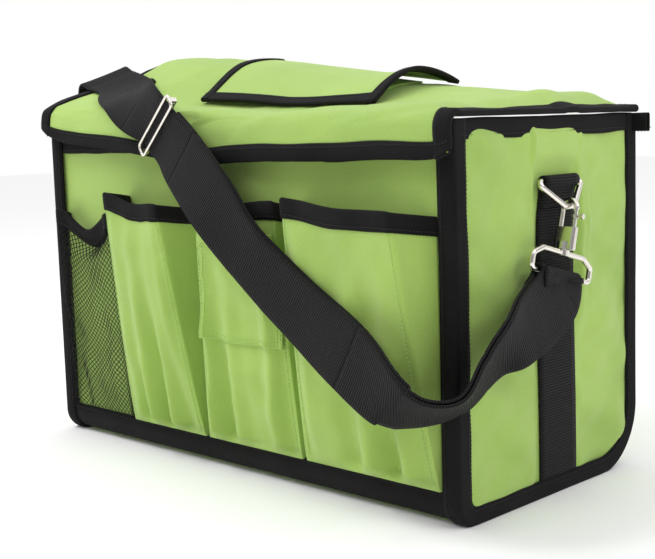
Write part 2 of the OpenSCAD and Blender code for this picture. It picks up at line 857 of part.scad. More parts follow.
// Length of the strap's end that is sewn down below the left eye
strap_tail = 24;
over_tape = lid_t + tape_extra + clear + strap_t / 2 + 0.4;
left_route = concat(
    [eye_place(-1, -1.2, -strap_tail), eye_place(-1, -eye_turn, -4)],
    [for (a = [150, 90, 30]) eye_place(-1, eye_turn * cos(a), eye_turn * sin(a))],
    [eye_place(-1, eye_turn, -3), eye_place(-1, eye_turn + 1, -12)],
    [
        strap_place(-1.098, 0.088, 0.777, [0, 0.99, -0.1]),
        strap_place(-1.135, 0.073, 0.691, [0, 1, 0]),
        strap_place(-1.172, 0.073, 0.777, [0, 1, 0]),
        strap_place(-1.181, 0.102, 1.053, [0, 1, 0]),
        strap_place(-1.158, 0.190, 1.461, [0.05, 0.98, 0.1]),
        strap_place(-1.107, 0.270, 1.804, [0.1, 0.97, 0.22]),
        strap_place(-1.052, 0.314, 1.985, [0.12, 0.94, 0.32])
    ],
    [
        lid_place(-0.954, 3.03, over_tape + 1.8, [0.13, 0.94, 0.33]),
        lid_place(-0.830, 2.93, over_tape + 2.4, [0.3, 0.92, 0.27]),
        lid_place(-0.680, 2.45, over_tape + 4.5, [0.42, 0.87, 0.25]),
        lid_place(-0.520, 1.95, over_tape + 6, [0.48, 0.74, 0.46]),
        lid_place(-0.395, 1.42, over_tape + 5.8, [0.53, 0.3, 0.78])
    ]
);
slider_route = [for (along = [16, 0, -16]) slider_place(along)];
front_route = [
    strap_place(-0.068, 0.934, 1.537, [0.66, 0.06, 0.75]),
    strap_place(0.111, 0.990, 1.343, [0.73, 0.10, 0.67]),
    strap_place(0.251, 0.999, 1.156, [0.83, -0.08, 0.55]),
    strap_place(0.398, 0.986, 0.992, [0.78, -0.06, 0.62]),
    strap_place(0.559, 0.994, 0.849, [0.75, -0.05, 0.66]),
    strap_place(0.749, 1.053, 0.726, [0.70, 0.00, 0.71]),
    strap_place(0.906, 1.106, 0.608, [0.63, -0.22, 0.75]),
    strap_place(0.957, 1.076, 0.557, [0.68, -0.40, 0.61]),
    strap_place(1.015, 1.003, 0.538, [0.59, -0.64, 0.49]),
    strap_place(1.091, 0.902, 0.569, [0.57, -0.74, 0.35]),
    strap_place(1.111, 0.767, 0.677, [0.47, -0.77, 0.43]),
    strap_place(1.121, 0.683, 0.742, [0.39, -0.79, 0.47]),
    strap_place(1.128, 0.577, 0.793, [0.24, -0.74, 0.62]),
    strap_place(1.114, 0.438, 0.833, [0.10, -0.72, 0.68]),
    strap_place(1.098, 0.307, 0.865, [0.02, -0.77, 0.64]),
    strap_place(1.087, 0.193, 0.905, [-0.02, -0.87, 0.49]),
    eye_place(1, eye_turn + 1.2, -9, -1),
    eye_place(1, eye_turn + 0.5, -3, -1)
];
eye_route = [for (a = [30, 90, 150]) eye_place(1, eye_turn * cos(a), eye_turn * sin(a), -1)];

// Smooth stations along a route: [place, way across, way in].
function stations_of(route, per) =
    let (
        n = (len(route) - 1) * per,
        places = [for (r = route) r[0]],
        ways = [for (r = route) r[1]]
    )
    [for (i = [0 : n])
        let (
            u = i / per,
            t = unit(curve(places, min(u + 0.05, len(route) - 1)) - curve(places, max(u - 0.05, 0))),
            w0 = curve(ways, u),
            w = unit(w0 - (w0 * t) * t)
        )
        [curve(places, u), w, cross(w, t)]];

outer = stations_of(concat(left_route, slider_route, front_route, eye_route), 2);
turn_at = len(outer) - 1;
last = turn_at - 2 * (len(eye_route) + 1);
first = 2 * (len(left_route) + len(slider_route) - 1);

// The second layer lies inside the first, from the eye back to the slider's bar.
function inner_gap(i) = layer_gap + (2 * eye_turn + 2 - layer_gap) * pow(max(0, 1 - (last - i) / 7), 2);
inner = [for (i = [last : -1 : first])
    [outer[i][0] + inner_gap(i) * outer[i][2], outer[i][1], outer[i][2]]];

module shoulder_strap() {
    path = concat(outer, [[eye_place(1, -eye_turn, -3)[0], -eye_along, [0, 0, 1]]], inner);
    n = len(path) - 1;
    function across(i) = path[i][1];
    function away(i) =
        let (t = unit(path[min(i + 1, n)][0] - path[max(i - 1, 0)][0]))
        unit(cross(across(i), t));
    color("black") polyhedron(
        points = [for (i = [0 : n]) for (c = [[-1, -1], [1, -1], [1, 1], [-1, 1]])
            path[i][0] + c[0] * strap_w / 2 * across(i) + c[1] * strap_t / 2 * away(i)],
        faces = concat(
            [[2, 1, 0], [3, 2, 0]],
            [[4 * n, 4 * n + 1, 4 * n + 2], [4 * n, 4 * n + 2, 4 * n + 3]],
            [for (i = [0 : n - 1]) for (k = [0 : 3]) for (f = [
                [4 * i + 4 + (k + 1) % 4, 4 * i + 4 + k, 4 * i + k],
                [4 * i + (k + 1) % 4, 4 * i + 4 + (k + 1) % 4, 4 * i + k]
            ]) f]
        )
    );
}

// Tri-glide slider: frame with a centre bar, the strap woven through it.
module on_slider() {
    w = strap_w_dir;
    t = strap_along;
    n = slider_out;
    multmatrix([
        [w[0], t[0], n[0], slider_at[0]],
        [w[1], t[1], n[1], slider_at[1]],
        [w[2], t[2], n[2], slider_at[2]]
    ]) rotate([0, 0, -slider_skew]) children();
}

module strap_slider() {
    rail = (slider_w - slider_wire) / 2;
    reach = (slider_l - slider_wire) / 2;
    top = strap_t / 2 + wire_gap + clear + slider_wire / 2;
    post = 2;
    bar_w = 3.6;
    bar_t = 1.2;
    bar_top = -strap_t / 2 - clear;
    color("silver") on_slider() {
        translate([0, 0, top]) bent_wire(2 * rail, 2 * reach, slider_wire / 2, slider_bend);
        for (side = [-1, 1]) translate([side * rail - post / 2, -bar_w / 2 - skin, bar_top - bar_t])
            cube([post, bar_w + 2 * skin, top - bar_top + bar_t]);
        translate([-rail, -bar_w / 2, bar_top - bar_t]) cube([2 * rail, bar_w, bar_t]);
    }
}

front_panel();
base_panel();
back_panel();
base_board();
end_panel_right();
end_panel_left();
end_binding_right();
end_binding_left();
mouth_binding_right();
mouth_binding_left();
front_binding();
back_binding();
base_band();
pocket_left();
pocket_middle();
pocket_right();
net_pocket();
patch_pocket();
pocket_left_binding();
pocket_middle_binding();
pocket_right_binding();
net_pocket_binding();
lid();
lid_binding();
lid_pocket();
lid_flap();
lid_flap_binding();
end_webbing_right();
end_webbing_left();
ring_right();
ring_left();
hook_body_right();
hook_body_left();
trigger_right();
trigger_left();
trigger_spring_right();
trigger_spring_left();
swivel_eye_right();
swivel_eye_left();
shoulder_strap();
strap_slider();
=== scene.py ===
# %% [markdown]
# # A soft garden tool satchel
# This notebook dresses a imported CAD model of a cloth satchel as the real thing: lime woven
# polyester, black folded tape, a knitted net, ribbed webbing and nickel-plated snap hooks.
# Everything is built by code in the CAD model's frame: X along the width, Y from front to back,
# Z up, with the origin in the middle of the base. Lengths in the code are millimetres, and each
# mesh is made in metres.

# %% Load the CAD frame
import math

import bpy
import numpy as np
from mathutils import Matrix, Vector


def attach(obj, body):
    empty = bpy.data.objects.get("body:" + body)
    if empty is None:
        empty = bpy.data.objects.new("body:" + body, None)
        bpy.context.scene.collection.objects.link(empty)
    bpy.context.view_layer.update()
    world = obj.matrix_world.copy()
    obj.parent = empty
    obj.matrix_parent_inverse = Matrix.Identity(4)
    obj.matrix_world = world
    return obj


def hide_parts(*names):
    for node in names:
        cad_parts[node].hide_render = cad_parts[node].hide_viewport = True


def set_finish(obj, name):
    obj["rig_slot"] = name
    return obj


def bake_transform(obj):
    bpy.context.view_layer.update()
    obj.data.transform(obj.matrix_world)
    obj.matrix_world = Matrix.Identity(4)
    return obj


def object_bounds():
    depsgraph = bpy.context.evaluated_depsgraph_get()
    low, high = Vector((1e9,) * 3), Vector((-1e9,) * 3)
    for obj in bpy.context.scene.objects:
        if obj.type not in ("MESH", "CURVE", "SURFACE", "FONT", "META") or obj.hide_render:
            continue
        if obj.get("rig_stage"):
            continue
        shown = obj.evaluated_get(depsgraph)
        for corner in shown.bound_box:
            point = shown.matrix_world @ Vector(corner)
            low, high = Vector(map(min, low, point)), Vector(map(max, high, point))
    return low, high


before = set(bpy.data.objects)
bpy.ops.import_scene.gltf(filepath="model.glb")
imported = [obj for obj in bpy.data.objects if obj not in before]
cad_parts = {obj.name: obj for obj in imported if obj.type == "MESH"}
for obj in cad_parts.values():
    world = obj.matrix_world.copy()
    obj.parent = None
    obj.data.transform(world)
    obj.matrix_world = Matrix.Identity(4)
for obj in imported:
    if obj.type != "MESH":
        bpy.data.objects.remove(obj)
cad_low, cad_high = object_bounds()
print("CAD box in metres:", [round(v, 3) for v in cad_low], [round(v, 3) for v in cad_high])

# %% [markdown]
# ## Sizes
# These are the CAD model's own sizes. Keeping them in one place lets every cloth piece start
# from the same seams as the solid that it replaces.

# %% Sizes of the bag
MM = 0.001
END_X = 215.0
FACE_Y = 104.0
FRONT_Y = -102.0
BAG_H = 256.0
FRONT_TOP = 250.0
BAND_H = 24.0
SEAM_X = 203.0
REAR_R = 47.0
FRONT_R = 17.0
TAPE_W = 12.0
LID_X = 218.0
HINGE_Z = 258.0
RING_X, RING_Y, RING_Z = 219.1, 3.0, 214.0
LEAN = math.radians(15)
SEAMS = (-118.0, -25.0, 80.0)
PANEL_T, POCKET_T, FINE_T = 2.4, 1.4, 1.2  # thicknesses of the cloth
STITCH_IN, STITCH_UP = 9.5, 1.25  # a row of stitches, in from a tape's edge and above the cloth

# %% [markdown]
# ## Helpers for cloth
# Cloth is easiest to control as a grid of points over two parameters. `cloth` turns such a grid
# into a thin closed solid and gives it a UV map in metres, so that a weave keeps one size
# everywhere. A simulation could drape the same grids, but here each fold is wanted in a known
# place, so the grids are shaped by smooth functions.

# %% Smooth noise and small functions
def smooth(a, b, x):
    t = np.clip((np.asarray(x, float) - a) / (b - a), 0, 1)
    return t * t * (3 - 2 * t)


def bump(x, centre, width):
    return np.exp(-(((np.asarray(x, float) - centre) / width) ** 2))


def ripples(a, b, size, seed, waves=9):
    """Soft noise between about -1 and 1 over two coordinates, with features of the given size."""
    rng = np.random.default_rng(seed)
    total = np.zeros(np.broadcast(a, b).shape)
    for _ in range(waves):
        turn, pitch = rng.uniform(0, 2 * math.pi), size * rng.uniform(0.7, 2.0)
        run = 2 * math.pi * (a * math.cos(turn) + b * math.sin(turn)) / pitch
        total += np.sin(run + rng.uniform(0, 6.28))
    return total / math.sqrt(waves * 2)


def creases(a, b, size, seed):
    """Noise with sharper ridges, like cloth that has been folded."""
    return 1 - 2 * np.abs(ripples(a, b, size, seed)) ** 0.8


def blend_points(a, b, c, d, f):
    """Between b and c, on the smooth curve that passes a, b, c and d."""
    return 0.5 * (2 * b + (c - a) * f + (2 * a - 5 * b + 4 * c - d) * f**2 + (3 * b - a - 3 * c + d) * f**3)


def through(points, t):
    """A smooth curve through points, with t counting the points passed."""
    p = np.asarray(points, float)
    n = len(p) - 1
    t = np.asarray(t, float)
    i = np.clip(np.floor(t).astype(int), 0, n - 1)
    near = p[np.maximum(i - 1, 0)], p[i], p[i + 1], p[np.minimum(i + 2, n)]
    return blend_points(*near, (t - i)[..., None])


def unit(v):
    v = np.asarray(v, float)
    return v / np.maximum(np.linalg.norm(v, axis=-1, keepdims=True), 1e-9)


print("noise sample:", round(float(ripples(10.0, 20.0, 50, 1)), 3))

# %% Meshes from grids
def new_object(name, verts, edges, faces):
    mesh = bpy.data.meshes.new(name)
    mesh.from_pydata([tuple(v) for v in np.asarray(verts, float) * MM], edges, [tuple(f) for f in faces])
    obj = bpy.data.objects.new(name.replace(" ", "_"), mesh)
    bpy.context.collection.objects.link(obj)
    return obj


def smooth_object(name, verts, faces, uvs):
    obj = new_object(name, verts, [], faces)
    mesh = obj.data
    layer = mesh.uv_layers.new(name="cloth")
    index = np.empty(len(mesh.loops), np.int32)
    mesh.loops.foreach_get("vertex_index", index)
    layer.data.foreach_set("uv", (np.asarray(uvs, float)[index] * MM).astype(np.float32).ravel())
    mesh.polygons.foreach_set("use_smooth", [True] * len(mesh.polygons))
    return obj


def grid_normals(grid):
    return unit(np.cross(np.gradient(grid, axis=0), np.gradient(grid, axis=1)))


def run_length(grid, axis):
    step = np.linalg.norm(np.diff(grid, axis=axis), axis=-1)
    shape = list(step.shape)
    shape[axis] = 1
    return np.concatenate([np.zeros(shape), np.cumsum(step, axis=axis)], axis=axis)


def cloth(name, grid, thick, side=1):
    """A sheet whose outer face is the grid and whose other face lies thick behind it."""
    n, m = grid.shape[:2]
    inner = grid - side * thick * grid_normals(grid)
    verts = np.concatenate([grid.reshape(-1, 3), inner.reshape(-1, 3)])
    a = (np.arange(n - 1)[:, None] * m + np.arange(m - 1)[None, :]).ravel()
    quads = np.stack([a, a + m, a + m + 1, a + 1], 1)
    size = n * m
    faces = [*quads.tolist(), *(quads[:, ::-1] + size).tolist()]
    rim = [*range(0, m), *range(2 * m - 1, size, m), *range(size - 2, size - m - 1, -1),
           *range(size - 2 * m, 0, -m)]
    for p, q in zip(rim, rim[1:] + rim[:1]):
        faces.append([p, q, q + size, p + size])
    if side < 0:
        faces = [f[::-1] for f in faces]
    runs = run_length(grid, 0), run_length(grid, 1)
    uv = np.stack(runs, -1).reshape(-1, 2)
    obj = smooth_object(name, verts, faces, np.concatenate([uv, uv]))
    return obj


def sweep(name, rings):
    """A solid through rings of points, each ring counter-clockwise as seen from where the sweep goes."""
    n, k = rings.shape[:2]
    verts = rings.reshape(-1, 3)
    faces = []
    for i in range(n - 1):
        for j in range(k):
            b = (j + 1) % k
            faces.append([i * k + j, i * k + b, (i + 1) * k + b, (i + 1) * k + j])
    faces.append(list(range(k))[::-1])
    faces.append([(n - 1) * k + j for j in range(k)])
    around = np.linalg.norm(np.roll(rings[n // 2], -1, axis=0) - rings[n // 2], axis=1)
    u = np.concatenate([[0], np.cumsum(around)[:-1]])
    v = run_length(rings.mean(axis=1)[:, None, :], 0)[:, 0]
    uv = np.stack(np.broadcast_arrays(u[None, :], v[:, None]), -1).reshape(-1, 2)
    obj = smooth_object(name, verts, faces, uv)
    return obj


print("helpers ready")

# %% [markdown]
# ## Surfaces and bands
# Many pieces follow another piece: a tape follows a pocket's mouth, a stitch follows a seam. A
# `Surface` answers where a point lies when it is lifted off the cloth, and `band` sweeps a
# tape's folded section along any such surface. The alternative, shrinkwrapping flat strips, is
# quicker to set up but loses the fold over the edge.

# %% Surfaces and bands
class Surface:
    def __init__(self, at, du, dv):
        self.at, self.du, self.dv = at, du, dv

    def place(self, u, v, lift=0.0):
        u, v = np.broadcast_arrays(np.asarray(u, float), np.asarray(v, float))
        along = self.at(u + self.du, v) - self.at(u - self.du, v)
        up = self.at(u, v + self.dv) - self.at(u, v - self.dv)
        return self.at(u, v) + np.asarray(lift)[..., None] * unit(np.cross(along, up))

    def grid(self, us, vs, lift=0.0):
        u, v = np.meshgrid(us, vs, indexing="ij")
        return self.place(u, v, np.broadcast_to(lift, u.shape))


# The tape's section: how far each corner is inward from the cloth's edge, and above its face
FOLD = [(TAPE_W, 0.9), (7, 1.15), (0.6, 1.0), (-0.7, 0.3), (-1.0, -0.8), (-0.7, -2.0), (0.6, -2.7),
        (TAPE_W, -2.5), (TAPE_W, -1.7), (0.2, -1.7), (0.2, 0.0), (TAPE_W, 0.1)]


def band(name, place, u, section=FOLD, jag=0.3, wobble=0.5, seed=3):
    """A folded tape: place(u, inward, lift) is a point of the surface, inward from its edge. Its free
    edges are saw-toothed by jag and wander by wobble."""
    i = np.arange(len(u))
    drift = wobble * ripples(i * 1.3, 0 * i, 40, seed)
    rings = []
    for inward, lift in section:
        edge = 1.0 if inward > 10 else 0.0
        rings.append(place(u, inward + edge * (jag * (-1.0) ** i + drift), lift + 0.15 * drift))
    return sweep(name, np.stack(rings, axis=1))


pieces = {"bag": [], "lid": [], "flap": []}
seams = {"bag": [], "lid": [], "flap": []}


HELD = {"pocket": "gathered", "tape": "folded", "webbing": "folded", "flap": "laid"}


def add(obj, body, slot, *nodes):
    pieces[body].append(obj)
    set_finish(obj, slot)
    held = next((way for word, way in HELD.items() if word in obj.name), "stretched")
    if nodes:
        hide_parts(*nodes)
    return obj


# %% [markdown]
# ## Body panels
# The body is cut from two ends and one long piece for the front, base and back. Each is a cloth
# grid on its seam line, with soft folds that die out where the tape holds it. The ends carry two
# pressed pleats beside the webbing.

# %% Outline of the ends
LEGS = [BAG_H - FRONT_R, FRONT_R * math.pi / 2, 2 * FACE_Y - FRONT_R - REAR_R, REAR_R * math.pi / 2]
END_RUN = sum(LEGS) + BAG_H - REAR_R


def outline(s):
    """A point of the end seam and the way inward, s millimetres from the front's top."""
    s = np.asarray(s, float)
    marks = np.cumsum([0, *LEGS])
    y, z, ny, nz = (np.zeros(s.shape) for _ in range(4))
    a = s <= marks[1]
    y[a], z[a], ny[a] = -FACE_Y, BAG_H - s[a], 1
    a = (s > marks[1]) & (s <= marks[2])
    turn = (s[a] - marks[1]) / FRONT_R
    ny[a], nz[a] = np.cos(turn), np.sin(turn)
    y[a], z[a] = -FACE_Y + FRONT_R * (1 - ny[a]), FRONT_R * (1 - nz[a])
    a = (s > marks[2]) & (s <= marks[3])
    y[a], nz[a] = -FACE_Y + FRONT_R + s[a] - marks[2], 1
    a = (s > marks[3]) & (s <= marks[4])
    turn = (s[a] - marks[3]) / REAR_R
    ny[a], nz[a] = -np.sin(turn), np.cos(turn)
    y[a], z[a] = FACE_Y - REAR_R * (1 - np.sin(turn)), REAR_R * (1 - np.cos(turn))
    a = s > marks[4]
    y[a], z[a], ny[a] = FACE_Y, REAR_R + s[a] - marks[4], -1
    return y, z, ny, nz


print("seam round one end:", round(END_RUN), "mm")


def foot_of(y):
    """Height of the end panel's lower edge."""
    front = FRONT_R - np.sqrt(np.maximum(0, FRONT_R**2 - np.minimum(0, y + FACE_Y - FRONT_R) ** 2))
    rear = REAR_R - np.sqrt(np.maximum(0, REAR_R**2 - np.maximum(0, y - FACE_Y + REAR_R) ** 2))
    return np.maximum(front, rear)


# %% End panels
END = {1: "right", -1: "left"}


def end_panel(side):
    seed = 11 if side > 0 else 29
    reach = FACE_Y - 1
    y, v = np.meshgrid(np.linspace(-reach, reach, 150), np.linspace(0, 1, 170), indexing="ij")
    foot = foot_of(y)
    z = foot + 1 + v * (BAG_H - 1 - foot)
    rim = smooth(0, 26, y + reach) * smooth(0, 26, reach - y)
    rim = rim * smooth(0, 24, z - foot) * smooth(0, 16, BAG_H - z)
    slant = 0.55 * y + z
    soft = 4.0 * ripples(slant, 0.35 * (y - z), 66, seed) + 1.7 * ripples(y, z, 31, seed + 1)
    free = smooth(10, 40, np.abs(y - 5))
    pleats = 3.0 * (smooth(-26, -22, y) - smooth(33, 39, y)) * smooth(90, 180, z)
    pleats = pleats + 2.2 * bump(y, -22, 2.5) * smooth(150, 220, z)
    pleats = pleats + 2.6 * bump(y - 0.06 * (250 - z), 36, 3) * smooth(110, 200, z)
    x = END_X - 0.4 + rim * (1.6 + soft * (0.35 + 0.65 * free)) + 0.5 * pleats * rim
    held = smooth(30, 22, np.abs(y - RING_Y)) * smooth(232, 222, z)
    x = x + held * (END_X - 0.4 - x)
    grid = np.stack([side * x, y, z], -1)
    obj = cloth("end panel " + END[side], grid, PANEL_T, side)
    return add(obj, "bag", "lime_cloth", "end_panel_" + END[side])


for side in END:
    end_panel(side)

# %% Front, base and back
def long_panel(name, node, s0, s1, stations, relief, seed):
    """Part of the cloth that runs down the front, under the base and up the back."""
    reach = END_X - 3
    s, x = np.meshgrid(np.linspace(s0, s1, stations), np.linspace(-reach, reach, 200), indexing="ij")
    y, z, ny, nz = outline(s)
    rim = smooth(0, 20, reach - np.abs(x))
    soft = rim * relief * (ripples(x, s, 90, seed) + 0.4 * ripples(x, s, 37, seed + 1))
    inset = 2.0 - np.clip(soft, -1.8, 1.8)
    grid = np.stack([x, y + ny * inset, z + nz * inset], -1)
    return add(cloth(name, grid, PANEL_T, 1), "bag", "lime_cloth", node)


RUN_FRONT = BAG_H - FRONT_R + 12
RUN_REAR = RUN_FRONT + 2 * FACE_Y - FRONT_R - REAR_R + 70
long_panel("front panel", "front_panel", BAG_H - FRONT_TOP, RUN_FRONT, 130, 1.2, 41)
long_panel("base panel", "base_panel", RUN_FRONT, RUN_REAR, 120, 0.3, 42)
long_panel("back panel", "back_panel", RUN_REAR, END_RUN, 110, 1.1, 43)

# %% Black band along the foot of the front
band_top, reach = BAG_H - BAND_H, SEAM_X + 3
s, x = np.meshgrid(np.linspace(band_top, RUN_FRONT + 6, 40), np.linspace(-reach, reach, 260), indexing="ij")
y, z, ny, nz = outline(s)
puff = 0.5 + 0.9 * bump(s, band_top + 9, 7) * (0.6 + 0.4 * ripples(x, s, 40, 51))
grid = np.stack([x, y - ny * (puff - 0.8), np.maximum(0.05, z - nz * (puff - 1.0))], -1)
add(cloth("base band", grid, 1.1), "bag", "binding_tape", "base_band")
seams["bag"].append(np.stack([x[4], y[4] - ny[4] * 0.9, z[4]], -1))
print("panels:", len(pieces["bag"]))

# %% [markdown]
# ## Tape on the seams
# The tape is one folded section swept round each end, over the panels' raw edges. Its inner
# edge is slightly saw-toothed, which is what a woven tape's looped edge looks like from nearby.

# %% Tape round the ends
END_FOLD = [(TAPE_W, 1.3), (7, 1.9), (2.5, 2.0), (0.4, 2.2), (-1.1, 1.3), (-1.7, -0.6), (-1.6, -5),
            (-0.8, -TAPE_W), (0.6, -TAPE_W), (-0.3, -5), (0.2, 0.2), (TAPE_W, 0.2)]


def end_tape(side):
    def place(u, inward, lift):
        y, z, ny, nz = outline(u)
        sway = 0.7 * ripples(u, 0 * u, 90, 61 + side)
        return np.stack([side * (END_X + lift + 0.5 * sway), y + ny * (inward + 0.4 * sway),
                         np.maximum(0.02, z + nz * inward)], -1)

    u = np.linspace(0, END_RUN, 520)
    seams["bag"].append(place(u, STITCH_IN, 1.9))
    seams["bag"].append(place(u, 0 * u - 1.6, -9.0))
    tape_piece = band("end tape " + END[side], place, u, END_FOLD, seed=62 + side)
    return add(tape_piece, "bag", "binding_tape", "end_binding_" + END[side])


for side in END:
    end_tape(side)


# %% Tape on the mouth of the bag
def straight_tape(name, node, start, end, out, seed):
    """A folded tape along a level top edge; out points away from the panel's face."""
    start, end, out = (np.asarray(v, float) for v in (start, end, out))
    run = np.linalg.norm(end - start)
    section = [(a, b if b > -1 else b - 1.4) for a, b in FOLD]

    def place(u, a, b):
        droop = 0.4 * ripples(u, 0 * u, 60, seed)
        a, b = np.broadcast_to(a, u.shape), np.broadcast_to(b, u.shape)
        base = start + (end - start) * (u / run)[:, None]
        return base + (a + droop)[:, None] * np.array([0, 0, -1]) + (b + 0.4 * droop)[:, None] * out

    u = np.linspace(0, run, int(run / 1.3))
    seams["bag"].append(place(u, STITCH_IN, 1.2))
    return add(band(name, place, u, section, seed=seed), "bag", "binding_tape", node)


for side, label in END.items():
    straight_tape("mouth tape " + label, "mouth_binding_" + label, (side * END_X, -FACE_Y + 1, BAG_H),
                  (side * END_X, FACE_Y - 2, BAG_H), (side, 0, 0), 71 + side)
straight_tape("front tape", "front_binding", (-SEAM_X, FRONT_Y, FRONT_TOP), (SEAM_X, FRONT_Y, FRONT_TOP),
              (0, -1, 0), 74)
straight_tape("back tape", "back_binding", (-END_X, FACE_Y - 0.6, BAG_H), (END_X + 13, FACE_Y - 0.6, BAG_H),
              (0, 1, 0), 75)
print("bag pieces:", len(pieces["bag"]))

# %% [markdown]
# ## Bellows pockets
# A bellows pocket is one strip of cloth: it leaves the panel at the left seam, runs forward,
# across the front and back to the right seam, and at the foot it is gathered almost flat. One
# surface over "across" and "up" holds all of that, with folds that run together at the foot.

# %% Shape of a pocket
GUSSET = 0.16  # share of the strip's run in each gusset
TALL = 180.0  # about a pocket's height, for the size of its folds


def pocket_surface(left, right, out, inset, top, fall, belly, sag, seed, gather=5.5):
    """A pocket that stands out at the mouth and whose front is inset there. The mouth falls to the
    right and sags; belly and gather are how far the front swells and its folds stand out."""
    gusset, foot = GUSSET, 4

    def at(s, v):
        h = np.clip(v, 0, 1.1)
        depth = foot + (out - foot) * h**0.85
        q = np.clip((s - gusset) / (1 - 2 * gusset), 0, 1)
        total_x, total_y, weights = 0, 0, 0
        for shift, weight in ((-0.022, 1), (-0.011, 2), (0, 3), (0.011, 2), (0.022, 1)):
            t = np.clip(s + shift, 0, 1)
            g = np.clip(t / gusset, 0, 1)
            k = np.clip((1 - t) / gusset, 0, 1)
            mid = np.clip((t - gusset) / (1 - 2 * gusset), 0, 1)
            xl, xr = left + inset * h * g, right - inset * h * k
            tuck = 5 * h * (np.sin(math.pi * g) - np.sin(math.pi * k))
            total_x = total_x + weight * (xl + (xr - xl) * mid + tuck * 0.6)
            total_y = total_y + weight * depth * np.minimum(g, k)
            weights += weight
        x, y = total_x / weights, total_y / weights
        front = smooth(0, 0.16, q) * smooth(0, 0.16, 1 - q)
        full = np.sin(math.pi * np.clip(h, 0, 1)) ** 0.8
        y = y + front * belly * full
        lean = (q - 0.5) * (1 - h)
        folds = np.sin(2 * math.pi * (2.2 * q + 0.9 * lean) + seed)
        folds = folds + 0.6 * np.sin(2 * math.pi * 4.1 * q - seed)
        y = y + front * gather * np.maximum(0, 1 - h) ** 1.4 * smooth(0, 0.05, h) * folds
        y = y + front * smooth(0, 0.2, h) * (3.0 * ripples(x + 0.3 * h * TALL, h * TALL, 64, seed) * (1.2 - h)
                                             + 1.1 * ripples(x, h * TALL, 30, seed + 5))
        y = y - front * 3.2 * bump(h, 0.94, 0.07) * np.sin(math.pi * q) * (sag / 4)
        low = top - fall * q - 5 * (1 - np.clip(y / out, 0, 1)) - sag * np.sin(math.pi * q) ** 2
        return np.stack([x, FRONT_Y - 0.3 - y, BAND_H - 1 + (low - BAND_H + 1) * v], -1)

    return Surface(at, 0.002, 0.004)


def mouth_tape(name, node, surface, height, seed):
    def place(u, inward, lift):
        return surface.place(u, 1 - np.asarray(inward) / height, lift)

    u = np.linspace(0.0, 1.0, 200)
    seams["bag"].append(place(u, STITCH_IN, STITCH_UP))
    return add(band(name, place, u, seed=seed, jag=0.25, wobble=0.4), "bag", "binding_tape", node)


left_pocket = pocket_surface(SEAMS[0] + 2, SEAMS[1] - 2, 33, 12, 208, 8, 3.5, 4, 3)
middle_pocket = pocket_surface(SEAMS[1] + 2, SEAMS[2] - 2, 17, 8, 206, 2, 4.5, 3, 8)
right_pocket = pocket_surface(SEAMS[2] + 2, SEAM_X - 1, 33, 12, 208, 7, 3.0, 2.5, 13)
POCKET_RUN = 206 - BAND_H
bellows = {"left": left_pocket, "middle": middle_pocket, "right": right_pocket}
for seed, (label, surface) in enumerate(bellows.items(), 81):
    grid = surface.grid(np.linspace(0, 1, 150), np.linspace(0, 1, 130))
    add(cloth(label + " pocket", grid, POCKET_T), "bag", "lime_cloth", "pocket_" + label)
    mouth_tape(label + " pocket tape", "pocket_" + label + "_binding", surface, POCKET_RUN, seed)
print("pockets:", len(pieces["bag"]))

# %% Patch pocket on the middle bellows
def patch_at(u, v):
    """u and v run from 0 to 1 over the patch; its lower corners lift a little."""
    s = GUSSET + (1 - 2 * GUSSET) * (0.11 + 0.87 * u)
    p = middle_pocket.place(s, (104 + 80 * v - BAND_H) / POCKET_RUN, 0.0)
    curl = 2.6 * bump(v, 0, 0.16) * (bump(u, 0, 0.12) + bump(u, 1, 0.12))
    gape = 2.2 * np.sin(math.pi * u) * smooth(0.7, 1, v)
    p[..., 1] -= 1.5 + curl + gape + 0.25 * ripples(u * 80, v * 80, 25, 91)
    return p


patch = Surface(patch_at, 0.004, 0.004)
grid = patch.grid(np.linspace(0, 1, 70), np.linspace(0, 1, 70))
add(cloth("patch pocket", grid, FINE_T), "bag", "lime_cloth", "patch_pocket")
grid = patch.grid(np.linspace(0, 1, 60), np.linspace(0.86, 1.0, 10), 0.9)
add(cloth("patch hem", grid, 0.8), "bag", "lime_cloth")
cloth_seams = []
edge = np.linspace(0.02, 0.98, 60)
for gap in (0.02, 0.055):
    cloth_seams.append(patch.place(gap, edge[::-1], 0.25))
    cloth_seams.append(patch.place(edge, gap, 0.25))
    cloth_seams.append(patch.place(1 - gap, edge, 0.25))
cloth_seams.append(patch.place(edge, 0.875, 1.1))
for surface in bellows.values():
    run = np.linspace(0.03, 0.93, 120)
    for s in (0.185, 0.815):
        cloth_seams.append(surface.place(s, run, 0.25))
print("rows of green stitches:", len(cloth_seams))

# %% [markdown]
# ## Net pocket
# The net is a lattice of diamonds laid on a pocket surface as bare edges. A Geometry Nodes tree
# turns the edges to curves and gives them a round thread, so the thread's thickness stays one
# number. The pocket's cloth shape is the same kind as the bellows, with a deeper sag.

# %% Net pocket
net_surface = pocket_surface(-SEAM_X + 2, SEAMS[0] - 2, 16, 5, 192, 2, 2.0, 15, 21, gather=1.0)


def lattice(name, surface, across, up):
    verts, edges, index = [], [], {}
    for i in range(across + 1):
        for j in range(up + 1):
            if (i + j) % 2 == 0:
                index[(i, j)] = len(verts)
                verts.append((i / across, j / up))
    for (i, j), a in index.items():
        for step in ((1, 1), (-1, 1)):
            b = index.get((i + step[0], j + step[1]))
            if b is not None:
                edges.append((a, b))
    uv = np.array(verts)
    points = surface.place(uv[:, 0], uv[:, 1], 0.35 * ((np.arange(len(uv)) % 2) - 0.5))
    return new_object(name, points, edges, [])


net = lattice("net pocket", net_surface, 52, 74)
mouth_tape("net pocket tape", "net_pocket_binding", net_surface, 192 - BAND_H, 84)
print("net threads:", len(net.data.edges))

